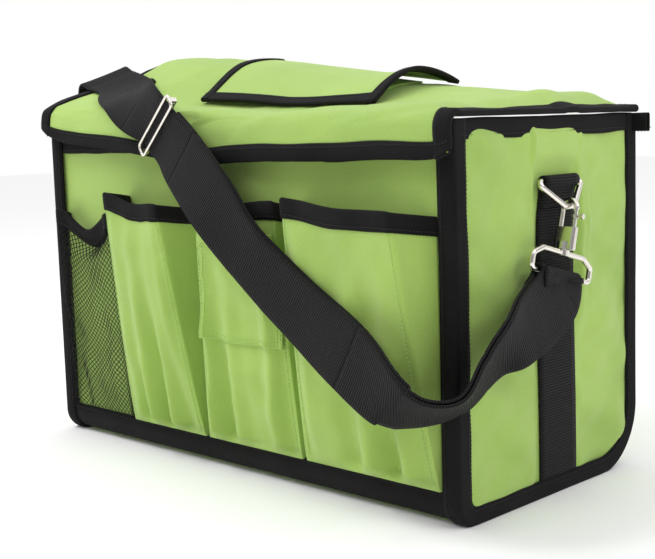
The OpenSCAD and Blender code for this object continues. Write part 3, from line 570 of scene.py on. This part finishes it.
# %% [markdown]
# ## Lid
# The lid is one domed cloth with tape on three sides. Its height falls from left to right, its
# front drops over the bag's mouth, and its right end is wavy where the tape is longer than the
# cloth. The hinge side is left plain, because it is sewn to the body.

# %% Shape of the lid
RIDGE_HIGH, RIDGE_FALL, SHOULDER_HIGH, SHOULDER_FALL, EDGE_Z = 317.0, 50.0, 279.0, 16.0, 230.0
BEND_X = 0.41 * LID_X


def lid_raw(x, t, lift):
    """The plain lid: t counts the points of its profile from the front edge, 0, to the hinge, 6."""
    r = RIDGE_HIGH - RIDGE_FALL * np.interp(x, [-LID_X, BEND_X, LID_X], [0, 0.79, 1])
    s = SHOULDER_HIGH - SHOULDER_FALL * np.interp(x, [-LID_X, 0, LID_X], [0, 0.94, 1])
    dip = -0.48 * LID_X
    slope = np.interp(x, [-LID_X, dip - 30, dip, BEND_X, LID_X], [0.39, 0.13, 0, 0, 0.39])
    c = np.clip((np.abs(x) - LID_X + 34) / 34, 0, 1)
    edge_z = EDGE_Z + 20 * np.maximum(0, -x) / LID_X + 8 * (1 - np.sqrt(1 - c * c))
    ys = [-FACE_Y - 6, -FACE_Y - 3.2, -FACE_Y + 10, -FACE_Y + 58, 16, FACE_Y - 20, FACE_Y]
    zs = [edge_z, s - 8, s, s + slope * (r - s), r, HINGE_Z + 0.95 * (r - HINGE_Z), HINGE_Z]
    p = [np.stack(np.broadcast_arrays(y, z), -1) for y, z in zip(ys, zs)]
    t = np.clip(t, 0, 6)

    def along(t):
        i = np.clip(np.floor(t).astype(int), 0, 5)
        here = [(i == k)[..., None] for k in range(6)]
        near = [np.select(here, [p[min(max(k + step, 0), 6)] for k in range(6)]) for step in (-1, 0, 1, 2)]
        return blend_points(*near, (t - i)[..., None])

    q, d = along(t), unit(along(np.minimum(6, t + 0.02)) - along(np.maximum(0, t - 0.02)))
    y, z = q[..., 0] - d[..., 1] * lift, q[..., 1] + d[..., 0] * lift
    return np.stack([np.broadcast_to(x, t.shape), y, z], -1)


def lid_at(x, t):
    """The lid with its creases, its wavy right end and its sagging front edge."""
    x, t = np.broadcast_arrays(np.asarray(x, float), np.asarray(t, float))
    free = smooth(0, 1.2, 6 - t)
    edge = smooth(0, 40, LID_X - np.abs(x))
    run = t * 52  # about the millimetres from the front edge
    soft = 1.8 * ripples(x, run, 120, 101) + 0.9 * ripples(x + run, x - run, 56, 102)
    soft = soft + 1.0 * creases(x * 0.5 + run, run * 0.4 - x, 150, 103) * edge
    under_flap = smooth(0, 12, 110 - np.abs(x + 8)) * smooth(2.8, 3.1, t) * smooth(4.8, 4.65, t)
    under_strap = smooth(-70, -110, x) * smooth(4.2, 3.6, t) + smooth(40, 0, x) * smooth(1.6, 1.2, t)
    room = 3.4 - 2.9 * np.maximum(under_flap, np.clip(under_strap, 0, 1))
    p = lid_raw(x, t, 2.4 + free * np.clip(soft, -1.2, room))
    wave = smooth(150, 214, x) * smooth(1.2, 2.0, t) * smooth(0, 0.5, 6 - t)
    sines = 2.6 * np.sin(run * 2 * math.pi / 96 + 0.9) + 1.2 * np.sin(run * 2 * math.pi / 41)
    p[..., 2] += wave * (1 + sines)
    curl = smooth(190, 213, x) * smooth(1.2, 1.9, t) * smooth(6, 5.6, t)
    p[..., 2] -= curl * np.clip(p[..., 2] - 260.7, 0, 12)
    p[..., 2] -= 9 * smooth(-192, -216, x) * smooth(2.6, 3.4, t) * smooth(6, 5, t)
    sway = smooth(-0.2, 0.5, 1.2 - t)
    p[..., 2] += sway * (2.0 * np.sin((x - 30) / 62) + 0.8 * np.sin(x / 23))
    return p


lid = Surface(lid_at, 0.5, 0.01)
grid = lid.grid(np.linspace(-LID_X + 1, LID_X - 1, 230), np.linspace(0.03, 6, 170))
add(cloth("lid", grid, 2.0), "lid", "lime_cloth", "lid")

# %% Tape round the lid
LID_STEP = np.linspace(0, 6, 400)
LID_RUN = run_length(lid_raw(np.zeros(400), LID_STEP, 0), 0)


def front_edge(u, inward, lift):
    """Tape along the lid's front edge; inward goes up the cloth."""
    u, inward = np.broadcast_arrays(u, np.asarray(inward, float))
    t = np.interp(np.abs(inward), LID_RUN, LID_STEP)
    p = lid.place(u, np.maximum(t, 0.004), lift)
    below = inward < 0
    p[below, 2] += inward[below]
    return p


def side_edge(side):
    def place(u, inward, lift):
        t = np.interp(u, LID_RUN, LID_STEP)
        x = side * (LID_X - np.broadcast_to(np.asarray(inward, float), t.shape))
        p = lid.place(np.clip(x, -LID_X, LID_X), np.maximum(t, 0.004), lift)
        p[:, 0] += x - np.clip(x, -LID_X, LID_X)
        return p

    return place


u = np.linspace(-LID_X + 1, LID_X - 1, 330)
add(band("lid front tape", front_edge, u, jag=0.3, seed=111), "lid", "binding_tape", "lid_binding")
seams["lid"].append(front_edge(u, STITCH_IN, STITCH_UP))
u = np.linspace(0, LID_RUN[-1], 260)
thicker = [(a, b * 1.12) for a, b in FOLD]
for side, label in END.items():
    place = side_edge(side)
    add(band("lid side tape " + label, place, u, thicker, jag=0.3, seed=112 + side), "lid", "binding_tape")
    seams["lid"].append(place(u, STITCH_IN, STITCH_UP + 0.1))
print("lid pieces:", len(pieces["lid"]))

# %% Flap on the lid, and the flat pocket under it
FLAP_W, FLAP_LONG, FLAP_MID, FLAP_T0, FLAP_T1 = 202.0, 84.0, -13.0, 3.13, 4.65


def flap_raw(s, t, width, lift):
    """s runs across the flap and t from its front edge to its sewn edge; its front is skewed."""
    x = FLAP_MID + (2 * s - 1) * width / 2 + (1 - t) * (20 * (1 - s) + 6 * s)
    return lid_raw(x, FLAP_T0 + (FLAP_T1 - FLAP_T0) * t, lift)


def flap_at(s, t):
    s, t = np.broadcast_arrays(np.asarray(s, float), np.asarray(t, float))
    arch = 12 * np.clip(s, 0, 1) ** 5 * np.sin(math.pi * np.clip(t, 0, 1))
    soft = 0.5 * ripples(s * FLAP_W, t * 80, 70, 121) + 0.6 * np.sin(s * FLAP_W / 33) * smooth(0.3, 0, t)
    return flap_raw(s, t, FLAP_W, 6.5 + arch + np.clip(soft, -0.7, 1.5))


flap = Surface(flap_at, 0.004, 0.01)
grid = flap.grid(np.linspace(0.004, 0.996, 110), np.linspace(0.01, 1, 60))
add(cloth("flap", grid, 1.6), "flap", "lime_cloth", "lid_flap")


def flap_front(u, inward, lift):
    return flap.place(u, np.asarray(inward) / FLAP_LONG, lift)


def flap_side(side):
    def place(u, inward, lift):
        inward = np.broadcast_to(np.asarray(inward, float), u.shape) / FLAP_W
        return flap.place(1 - inward if side > 0 else inward, u, lift)

    return place


u = np.linspace(0.0, 1.0, 170)
narrow = [(a * 0.8, b * 0.85) for a, b in FOLD]
flap_tape = band("flap front tape", flap_front, u, narrow, jag=0.25, seed=123)
add(flap_tape, "flap", "binding_tape", "lid_flap_binding")
seams["flap"].append(flap_front(u, 7.4, 1.1))
u = np.linspace(0.0, 1.0, 90)
thicker = [(a, b * 1.1) for a, b in narrow]
for side, label in END.items():
    place = flap_side(side)
    add(band("flap side tape " + label, place, u, thicker, jag=0.25, seed=124 + side), "flap", "binding_tape")
    seams["flap"].append(place(u, 7.4, 1.2))


def lid_pocket_at(s, t):
    s, t = np.broadcast_arrays(np.asarray(s, float), np.asarray(t, float))
    return flap_raw(s, 0.14 + 0.66 * t, FLAP_W - 36, 4.2 + 0.2 * ripples(s * 180, t * 60, 50, 131))


lid_pocket = Surface(lid_pocket_at, 0.004, 0.01)
grid = lid_pocket.grid(np.linspace(0, 1, 60), np.linspace(0, 1, 40))
add(cloth("lid pocket", grid, FINE_T), "lid", "lime_cloth", "lid_pocket")
print("flap pieces:", len(pieces["flap"]))

# %% [markdown]
# ## Webbing on the ends
# A strip of webbing is sewn up each end, turned over the ring's bar and sewn down on itself. It
# is one grid along a path, so the loop stays one continuous strip.

# %% End webbing
def end_webbing(side):
    """Up the panel, round the ring's bar and down over itself."""
    angle, turn = np.radians(np.linspace(180, -58, 30)), 3.9
    rise = np.linspace(12.5, RING_Z - 0.6, 90)
    x = np.concatenate([0 * rise + END_X + 0.2, RING_X + turn * np.cos(angle), END_X + np.array([4.6, 3.7, 3.7])])
    z = np.concatenate([rise, RING_Z + turn * np.sin(angle), RING_Z - np.array([5.6, 8.5, 17.5])])
    half = 21 - 2.3 * smooth(RING_Z - 26, RING_Z - 6, z)
    half[len(rise):] = 18.7
    across = np.linspace(-1, 1, 9)
    wander = 1.2 * np.sin(z / 47 + side) * smooth(RING_Z - 10, RING_Z - 60, z)
    y = RING_Y + wander[:, None] + half[:, None] * across
    grid = np.stack(np.broadcast_arrays(side * x[:, None], y, z[:, None]), -1)
    line = np.linspace(-17, 17, 20)
    for row in (-1, -6):
        row_line = side * (END_X + 3.8), RING_Y + line, z[row] + 1.6
        seams["bag"].append(np.stack(np.broadcast_arrays(*row_line), -1))
    obj = cloth("end webbing " + END[side], grid, 1.6, side)
    return add(obj, "bag", "webbing", "end_webbing_" + END[side])


for side in END:
    end_webbing(side)

# %% [markdown]
# ## Shoulder strap
# The strap is one route from the left eye, over the lid, through the slider, down across the
# front and round to the right eye; from there a second layer runs back to the slider's bar. It
# is cut into parts where the motion changes: a part that rides on one body is attached to it,
# and a part that spans a joint between two bodies is left fixed where it lies.

# %% Route of the strap
EYE_AT = np.array([227.43, -9.05, 151.94])
EYE_UP = np.array([0, math.sin(LEAN), math.cos(LEAN)])
EYE_ALONG = np.array([0, math.cos(LEAN), -math.sin(LEAN)])
EYE_TURN, EYE_SHIFT = 3.4, -4.0
STRAP_W, STRAP_T = 46.0, 1.8


def at_eye(side, across, up, turned=1):
    """A place beside the eye's bar, and the way to one edge of the strap there."""
    p = EYE_AT + up * EYE_UP + EYE_SHIFT * EYE_ALONG + [across, 0, 0]
    return p * [side, 1, 1], turned * EYE_ALONG


def at_bag(x, y, z, way):
    """x is 1 at an end panel, y is 1 at the mouth of the outer bellows, z is 1 at the eye's bar."""
    return np.array([x * END_X, -y * (FACE_Y + 33), z * EYE_AT[2]]), np.array(way, float)


def at_lid(x, t, lift, way):
    """x is 1 at the lid's right edge, t counts along its profile, lift is above its tape."""
    return lid_raw(np.array(x * LID_X), np.array(float(t)), lift + 4.8), np.array(way, float)


SLIDER_AT = lid_raw(np.array(-0.225 * LID_X), np.array(0.81), 12.4)
SLIDER_W = unit([0.55, -0.08, 0.83])
SLIDER_ALONG = unit(np.cross(SLIDER_W, np.cross([-0.8, 0.15, 0.58], SLIDER_W)))
left_route = [at_eye(-1, -1.2, -24), at_eye(-1, -EYE_TURN, -4)]
for angle in np.radians([150, 90, 30]):
    left_route.append(at_eye(-1, EYE_TURN * math.cos(angle), EYE_TURN * math.sin(angle)))
left_route += [
    at_eye(-1, EYE_TURN, -3), at_eye(-1, EYE_TURN + 1, -12),
    at_bag(-1.098, 0.088, 0.777, (0, 0.99, -0.1)), at_bag(-1.135, 0.073, 0.691, (0, 1, 0)),
    at_bag(-1.172, 0.073, 0.777, (0, 1, 0)), at_bag(-1.181, 0.102, 1.053, (0, 1, 0)),
    at_bag(-1.158, 0.190, 1.461, (0.05, 0.98, 0.1)), at_bag(-1.107, 0.270, 1.804, (0.1, 0.97, 0.22)),
    at_bag(-1.052, 0.314, 1.985, (0.12, 0.94, 0.32)), at_lid(-0.954, 3.03, 1.8, (0.13, 0.94, 0.33)),
    at_lid(-0.830, 2.93, 2.4, (0.3, 0.92, 0.27)), at_lid(-0.680, 2.45, 4.5, (0.42, 0.87, 0.25)),
    at_lid(-0.520, 1.95, 6, (0.48, 0.74, 0.46)), at_lid(-0.395, 1.42, 5.8, (0.53, 0.3, 0.78)),
]
slider_route = [(SLIDER_AT + along * SLIDER_ALONG, SLIDER_W) for along in (16, 0, -16)]
front_route = [
    at_bag(-0.068, 0.934, 1.537, (0.66, 0.06, 0.75)), at_bag(0.111, 0.990, 1.343, (0.73, 0.1, 0.67)),
    at_bag(0.251, 0.999, 1.156, (0.83, -0.08, 0.55)), at_bag(0.398, 0.986, 0.992, (0.78, -0.06, 0.62)),
    at_bag(0.559, 0.994, 0.849, (0.75, -0.05, 0.66)), at_bag(0.749, 1.053, 0.726, (0.7, 0, 0.71)),
    at_bag(0.906, 1.106, 0.608, (0.63, -0.22, 0.75)), at_bag(0.957, 1.076, 0.557, (0.68, -0.4, 0.61)),
    at_bag(1.015, 1.003, 0.538, (0.59, -0.64, 0.49)), at_bag(1.091, 0.902, 0.569, (0.57, -0.74, 0.35)),
    at_bag(1.111, 0.767, 0.677, (0.47, -0.77, 0.43)), at_bag(1.121, 0.683, 0.742, (0.39, -0.79, 0.47)),
    at_bag(1.128, 0.577, 0.793, (0.24, -0.74, 0.62)), at_bag(1.114, 0.438, 0.833, (0.1, -0.72, 0.68)),
    at_bag(1.098, 0.307, 0.865, (0.02, -0.77, 0.64)), at_bag(1.087, 0.193, 0.905, (-0.02, -0.87, 0.49)),
    at_eye(1, EYE_TURN + 1.2, -9, -1), at_eye(1, EYE_TURN + 0.5, -3, -1),
]
eye_route = [at_eye(1, EYE_TURN * math.cos(a), EYE_TURN * math.sin(a), -1) for a in np.radians([30, 90, 150])]
route = left_route + slider_route + front_route + eye_route
print("strap route points:", len(route), "slider at", np.round(SLIDER_AT, 1))

# %% Strap parts
PER = 12


def stations(route):
    """Places along a route, the way across the strap at each, and the way towards the bag."""
    places = np.array([r[0] for r in route])
    ways = np.array([r[1] for r in route])
    u = np.arange((len(route) - 1) * PER + 1) / PER
    ahead = through(places, np.minimum(u + 0.05, len(route) - 1)) - through(places, np.maximum(u - 0.05, 0))
    t = unit(ahead)
    w = through(ways, u)
    w = unit(w - (w * t).sum(-1, keepdims=True) * t)
    return through(places, u), w, np.cross(w, t)


outer_p, outer_w, outer_n = stations(route)
LAYER_GAP = 2.8
LAST = len(outer_p) - 1 - PER * (len(eye_route) + 1)
back = np.maximum(0, 1 - (LAST - np.arange(len(outer_p))) / (3.5 * PER))
gap = LAYER_GAP + (2 * EYE_TURN + 2 - LAYER_GAP) * back**2
inner_p = outer_p + gap[:, None] * outer_n
turned = [route[-1], at_eye(1, -EYE_TURN, -3, -1), (inner_p[LAST], outer_w[LAST])]
turn_p, turn_w, turn_n = stations(turned)


def ribbon(name, p, w, n, i0, i1):
    """Part of the strap between two stations, with a slight curl across it."""
    c = np.linspace(-1, 1, 13)
    rows = slice(i0, i1 + 1)
    curl = 0.35 * (c**2)[None, :, None] * n[rows, None, :]
    across = (STRAP_W / 2) * c[None, :, None] * w[rows, None, :]
    grid = p[rows, None, :] + across - (STRAP_T / 2) * n[rows, None, :] - curl
    obj = cloth(name, grid, STRAP_T, 1)
    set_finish(obj, "webbing")
    float(run_length(grid[:, 6], 0)[-1])
    return obj, grid


strap_parts = []


def carry(part, a, b=None):
    """The part rides on body a, or, where b is given, stays fixed where it lies between a and b."""
    obj, grid = part
    strap_parts.append(obj)
    if b is None:
        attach(obj, a)
        return
    c0, c1 = grid[0].mean(0), grid[-1].mean(0)
    d = unit(c1 - c0)
    t0, t1 = ((grid[0] - c0) @ d).max() + 1, ((grid[-1] - c0) @ d).min() - 1
    print(obj.name, "bends over", round(float(t1 - t0)), "mm")
    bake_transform(obj)


def cuts(prefix, p, w, n, plan):
    for k, (i0, i1, a, b) in enumerate(plan):
        carry(ribbon(f"{prefix} {k + 1}", p, w, n, i0, i1), a, b)


s0, f0 = len(left_route) * PER, len(left_route + slider_route) * PER
half = PER // 2
plan = [
    (0, 6 * PER, "eye_left", None),
    (6 * PER, 6 * PER + half, "eye_left", "hook_left"),
    (6 * PER + half, 7 * PER + half, "hook_left", "ring_left"),
    (7 * PER + half, 9 * PER, "ring_left", "bag"),
    (9 * PER, 14 * PER, "bag", "lid"),
    (14 * PER, s0 - PER, "lid", None),
    (s0 - PER, s0 + half, "lid", "slider"),
    (s0 + half, s0 + PER + half, "slider", None),
    (s0 + PER + half, f0, "slider", "lid"),
    (f0, f0 + 5 * PER, "lid", "bag"),
    (f0 + 5 * PER, f0 + 11 * PER, "bag", None),
    (f0 + 11 * PER, f0 + 13 * PER + half, "bag", "ring_right"),
    (f0 + 13 * PER + half, f0 + 15 * PER, "ring_right", "hook_right"),
    (f0 + 15 * PER, f0 + 16 * PER, "hook_right", "eye_right"),
    (f0 + 16 * PER, len(outer_p) - 1, "eye_right", None),
]
cuts("strap outer", outer_p, outer_w, outer_n, plan)
inner_plan = [(max(i0, s0 + 2 * PER), min(i1, LAST), a, b) for i0, i1, a, b in plan]
cuts("strap inner", inner_p, outer_w, outer_n, [p for p in inner_plan if p[1] > p[0]])
carry(ribbon("strap turn", turn_p, turn_w, turn_n, 0, len(turn_p) - 1), "eye_right")
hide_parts("shoulder_strap")
print("strap parts:", len(strap_parts))

# %% [markdown]
# ## Stitches
# A row of stitches is a polyline that carries one small rounded thread per step. The node tree
# resamples the line at the stitch pitch, places a thread on each point along the line, and
# makes them real. Drawing the stitches in a texture would be lighter, but they would not catch
# the light.

# %% Node trees for stitches and net
def node_tree(name, inputs):
    tree = bpy.data.node_groups.new(name, "GeometryNodeTree")
    tree.interface.new_socket("Geometry", in_out="INPUT", socket_type="NodeSocketGeometry")
    for label, value in inputs:
        socket = tree.interface.new_socket(label, in_out="INPUT", socket_type="NodeSocketFloat")
        socket.default_value = value
    tree.interface.new_socket("Geometry", in_out="OUTPUT", socket_type="NodeSocketGeometry")
    return tree


def node_line(tree, *kinds):
    """New nodes, with each one's first output joined to the next one's first input."""
    nodes = [tree.nodes.new(kind) for kind in kinds]
    for a, b in zip(nodes, nodes[1:]):
        tree.links.new(a.outputs[0], b.inputs[0])
    return nodes


def fill(node, **values):
    """Sets inputs of a node by name, with an underscore for each space."""
    for name, value in values.items():
        node.inputs[name.replace("_", " ")].default_value = value


def stitch_tree(material):
    tree = node_tree("stitch row " + material.name,
                     [("Pitch", 0.0027), ("Thread length", 0.0021), ("Thread width", 0.0008)])
    link = tree.links.new
    start, _, step, place, _, _, paint, _ = node_line(
        tree, "NodeGroupInput", "GeometryNodeMeshToCurve", "GeometryNodeResampleCurve",
        "GeometryNodeInstanceOnPoints", "GeometryNodeRealizeInstances", "GeometryNodeSetShadeSmooth",
        "GeometryNodeSetMaterial", "NodeGroupOutput")
    step.mode = "LENGTH"
    fill(paint, Material=material)
    thread, shape = node_line(tree, "GeometryNodeMeshIcoSphere", "GeometryNodeTransform")
    fill(thread, Radius=0.5, Subdivisions=1)
    size = tree.nodes.new("ShaderNodeCombineXYZ")
    for axis, label in enumerate(("Thread length", "Thread width", "Thread width")):
        link(start.outputs[label], size.inputs[axis])
    tangent = tree.nodes.new("GeometryNodeInputTangent")
    turn = tree.nodes.new("FunctionNodeAlignRotationToVector")
    turn.axis = "X"
    link(start.outputs["Pitch"], step.inputs["Length"])
    link(size.outputs[0], shape.inputs["Scale"])
    link(shape.outputs[0], place.inputs["Instance"])
    link(tangent.outputs[0], turn.inputs["Vector"])
    link(turn.outputs[0], place.inputs["Rotation"])
    return tree


def net_tree(material):
    tree = node_tree("net", [("Thread radius", 0.00033)])
    start, _, tube, _, paint, _ = node_line(
        tree, "NodeGroupInput", "GeometryNodeMeshToCurve", "GeometryNodeCurveToMesh",
        "GeometryNodeRealizeInstances", "GeometryNodeSetMaterial", "NodeGroupOutput")
    fill(paint, Material=material)
    ring = tree.nodes.new("GeometryNodeCurvePrimitiveCircle")
    fill(ring, Resolution=4)
    tree.links.new(start.outputs["Thread radius"], ring.inputs["Radius"])
    tree.links.new(ring.outputs[0], tube.inputs["Profile Curve"])
    return tree


def apply_tree(obj, tree):
    """Runs the tree on obj and keeps its result as a plain mesh."""
    modifier = obj.modifiers.new("nodes", "NODES")
    modifier.node_group = tree
    bpy.context.view_layer.update()
    ready = obj.evaluated_get(bpy.context.evaluated_depsgraph_get())
    mesh = bpy.data.meshes.new_from_object(ready)
    obj.modifiers.remove(modifier)
    obj.data = mesh
    return obj


def line_object(name, lines):
    verts, edges = [], []
    for line in lines:
        base = len(verts)
        verts.extend(line)
        edges.extend((base + i, base + i + 1) for i in range(len(line) - 1))
    return new_object(name, verts, edges, [])


# %% [markdown]
# ## Materials
# Woven polyester is a matt surface with a fine over-and-under weave and uneven dye. The weave is
# made from two sine waves over the cloth's own UV map in metres, so it follows each piece's
# thread direction; larger tone changes come from noise over object coordinates. Webbing uses
# the same idea with ribs across it.

# %% Material helpers
def wire_up(name):
    material = bpy.data.materials.new(name)
    material.use_nodes = True
    return material, material.node_tree, material.node_tree.nodes["Principled BSDF"]


def maths(tree, kind, a, b=None):
    node = tree.nodes.new("ShaderNodeMath")
    node.operation = kind
    for socket, value in zip(node.inputs, (a, b)):
        if isinstance(value, (int, float)):
            socket.default_value = value
        elif value is not None:
            tree.links.new(value, socket)
    return node.outputs[0]


def cloth_material(name, light, dark, pitches, depth, roughness, sheen, shine, seed, relief=0.00025):
    """A weave whose waves along u and v have the given pitches in metres; depth is how much the
    weave changes the tone, and relief how high it stands."""
    material, tree, shader = wire_up(name)
    new, link = tree.nodes.new, tree.links.new
    uv, split = node_line(tree, "ShaderNodeUVMap", "ShaderNodeSeparateXYZ")
    uv.uv_map = "cloth"
    waves = []
    for axis, pitch in enumerate(pitches):
        turn = maths(tree, "MULTIPLY", split.outputs[axis], 2 * math.pi / pitch)
        waves.append(maths(tree, "SINE", turn))
    height = maths(tree, "MULTIPLY", *waves) if len(waves) == 2 else waves[0]
    space = new("ShaderNodeTexCoord")
    broad, fine = new("ShaderNodeTexNoise"), new("ShaderNodeTexNoise")
    for noise, scale, detail in ((broad, 9 + seed, 3), (fine, 900, 2)):
        fill(noise, Scale=scale, Detail=detail)
        link(space.outputs["Object"], noise.inputs["Vector"])
    tone = maths(tree, "ADD", maths(tree, "MULTIPLY", broad.outputs["Fac"], 0.7),
                 maths(tree, "MULTIPLY", fine.outputs["Fac"], 0.3))
    tone = maths(tree, "ADD", tone, maths(tree, "MULTIPLY", height, depth))
    ramp = new("ShaderNodeValToRGB")
    for element, position, colour in zip(ramp.color_ramp.elements, (0.3, 0.7), (dark, light)):
        element.position, element.color = position, (*colour, 1)
    link(tone, ramp.inputs["Fac"])
    link(ramp.outputs["Color"], shader.inputs["Base Color"])
    dent = new("ShaderNodeBump")
    fill(dent, Strength=0.6, Distance=relief)
    grain = maths(tree, "MULTIPLY", fine.outputs["Fac"], 0.8)
    link(maths(tree, "ADD", height, grain), dent.inputs["Height"])
    link(dent.outputs["Normal"], shader.inputs["Normal"])
    fill(shader, Roughness=roughness, Sheen_Weight=sheen, Sheen_Roughness=0.5, Specular_IOR_Level=shine)
    return material


lime = cloth_material("lime polyester", (0.43, 0.63, 0.13), (0.31, 0.49, 0.085), (0.0011, 0.0011),
                      depth=0.12, roughness=0.68, sheen=0.22, shine=0.4, seed=1)
tape = cloth_material("black tape", (0.013, 0.012, 0.013), (0.006, 0.0055, 0.006), (0.0022, 0.0011),
                      depth=0.15, roughness=0.85, sheen=0.02, shine=0.12, seed=3)
webbing = cloth_material("black webbing", (0.014, 0.013, 0.014), (0.005, 0.0045, 0.005), (0.0019,),
                         depth=0.35, roughness=0.7, sheen=0.03, shine=0.14, seed=5, relief=0.0007)
net_black = cloth_material("net thread", (0.014, 0.014, 0.014), (0.008, 0.008, 0.008), (0.001, 0.001),
                           depth=0.1, roughness=0.7, sheen=0.02, shine=0.12, seed=7)


def plain(name, colour, metal, roughness, shine=0.5):
    """One colour, with a roughness that wanders a little."""
    material, tree, shader = wire_up(name)
    fill(shader, Base_Color=(*colour, 1), Metallic=metal, Specular_IOR_Level=shine)
    kinds = "ShaderNodeTexCoord", "ShaderNodeTexNoise", "ShaderNodeMapRange"
    space, noise, span = (tree.nodes.new(kind) for kind in kinds)
    fill(noise, Scale=260)
    fill(span, To_Min=roughness * 0.75, To_Max=roughness * 1.35)
    tree.links.new(space.outputs["Object"], noise.inputs["Vector"])
    tree.links.new(noise.outputs["Fac"], span.inputs["Value"])
    tree.links.new(span.outputs[0], shader.inputs["Roughness"])
    return material


nickel = plain("nickel plate", (0.80, 0.76, 0.70), 1.0, 0.16)
steel = plain("spring steel", (0.6, 0.6, 0.6), 1.0, 0.3)
board = plain("stiffening board", (0.05, 0.05, 0.05), 0.0, 0.5)
black_thread = plain("black thread", (0.022, 0.021, 0.022), 0.0, 0.5, 0.25)
green_thread = plain("green thread", (0.40, 0.62, 0.16), 0.0, 0.5, 0.3)
PAINT = {"lime_cloth": lime, "binding_tape": tape, "webbing": webbing, "black_net": net_black, "nickel": nickel,
         "spring_steel": steel, "board": board}
for material in bpy.data.materials:
    print("material:", material.name)

# %% Paint and place the cloth pieces
for body, objects in pieces.items():
    for obj in objects:
        obj.data.materials.append(PAINT[obj["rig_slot"]])
        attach(obj, body)
for obj in strap_parts:
    obj.data.materials.append(webbing)
apply_tree(net, net_tree(net_black))
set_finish(net, "black_net")
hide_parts("net_pocket")
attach(net, "bag")
for body, lines in seams.items():
    obj = apply_tree(line_object("stitches on the " + body, lines), stitch_tree(black_thread))
    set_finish(obj, "binding_tape")
    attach(obj, body)
    print(body, "stitch faces:", len(obj.data.polygons))
obj = apply_tree(line_object("green stitches", cloth_seams), stitch_tree(green_thread))
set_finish(obj, "lime_cloth")
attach(obj, "bag")

# %% [markdown]
# ## Metal parts
# The rings, hooks, bolts, eyes and slider keep their CAD shapes, which are exact. They only need
# smooth shading with kept edges, and a nickel finish whose roughness varies a little.

# %% Metal parts
METAL_NAMES = ("ring_", "hook_", "trigger_", "swivel_", "strap_slider")
METAL = [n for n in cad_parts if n.startswith(METAL_NAMES)]
for node in METAL + ["base_board"]:
    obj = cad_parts[node]
    obj.data.materials.clear()
    obj.data.materials.append(steel if "spring" in node else board if node == "base_board" else nickel)
    obj.data.polygons.foreach_set("use_smooth", [True] * len(obj.data.polygons))
    obj.data.set_sharp_from_angle(angle=math.radians(34))
print("metal nodes:", len(METAL))

# %% [markdown]
# ## Camera, floor and light
# The camera stands a metre from the bag at the height of its lid, turned about 45 degrees. Light
# is a broad soft box above and to the left and a weaker one at the right. The surround is bright
# behind the bag and overhead and dim on the camera's side, so the lid is brighter than the sides,
# the folds keep their shade and the nickel has something dark to mirror.

# %% Camera
yaw, pitch, roll = math.radians(44.69), math.radians(-7.25), math.radians(-1.78)
look = Vector((-math.sin(yaw) * math.cos(pitch), math.cos(yaw) * math.cos(pitch), math.sin(pitch)))
right = Vector((math.cos(yaw), math.sin(yaw), 0))
up = right.cross(look)
right, up = math.cos(roll) * right + math.sin(roll) * up, math.cos(roll) * up - math.sin(roll) * right
camera_data = bpy.data.cameras.new("camera")
camera_data.lens = 67.3
camera_data.sensor_width = 36
camera_data.clip_start = 0.05
camera = bpy.data.objects.new("camera", camera_data)
bpy.context.collection.objects.link(camera)
stand = 0.6812, -0.6857, 0.2559
camera.matrix_world = Matrix.Translation(stand) @ Matrix((right, up, -look)).transposed().to_4x4()
bpy.context.scene.camera = camera

# %% Floor and light
bpy.ops.mesh.primitive_plane_add(size=12)
floor = bpy.context.object
floor.name = "floor"
pale = plain("pale floor", (0.97, 0.97, 0.97), 0.0, 0.8, 0.1)
floor.data.materials.append(pale)
floor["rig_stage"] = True

world = bpy.data.worlds.new("studio")
bpy.context.scene.world = world
world.use_nodes = True
tree, background = world.node_tree, world.node_tree.nodes["Background"]
background.inputs["Color"].default_value = (1, 1, 1, 1)
space = tree.nodes.new("ShaderNodeTexCoord")
sides = []
# Which way a side of the surround faces, between which cosines it brightens, and how bright it gets
for direction, low, high, value in (((-0.7, 0.71, 0), -0.1, 0.6, 1.0), ((0, 0, 1), 0.25, 0.8, 1.15),
                                    ((0, 0, -1), -0.2, -0.08, 1.0)):
    facing = tree.nodes.new("ShaderNodeVectorMath")
    facing.operation = "DOT_PRODUCT"
    facing.inputs[1].default_value = direction
    tree.links.new(space.outputs["Generated"], facing.inputs[0])
    span = tree.nodes.new("ShaderNodeMapRange")
    fill(span, From_Min=low, From_Max=high, To_Min=0.2, To_Max=value)
    tree.links.new(facing.outputs["Value"], span.inputs["Value"])
    sides.append(span.outputs[0])
brightest = maths(tree, "MAXIMUM", *sides[:2])
tree.links.new(maths(tree, "MAXIMUM", brightest, sides[2]), background.inputs["Strength"])


def soft_box(name, place, target, size, power):
    data = bpy.data.lights.new(name, "AREA")
    data.shape = "RECTANGLE"
    data.size, data.size_y = size
    data.energy = power
    obj = bpy.data.objects.new(name, data)
    bpy.context.collection.objects.link(obj)
    obj.location = place
    obj.rotation_euler = (Vector(target) - Vector(place)).to_track_quat("-Z", "Y").to_euler()


soft_box("key", (-0.7, -0.9, 1.6), (0, 0, 0.1), (0.9, 0.7), 15)
soft_box("side", (1.5, 0.2, 1.1), (0, 0, 0.12), (0.7, 0.7), 6)
bpy.context.scene.view_settings.view_transform = "Standard"

# %% Finish
low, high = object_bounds()
{"cad": [list(cad_low), list(cad_high)], "visual": [list(low), list(high)]}
print("visual box:", [round(v, 3) for v in low], [round(v, 3) for v in high])
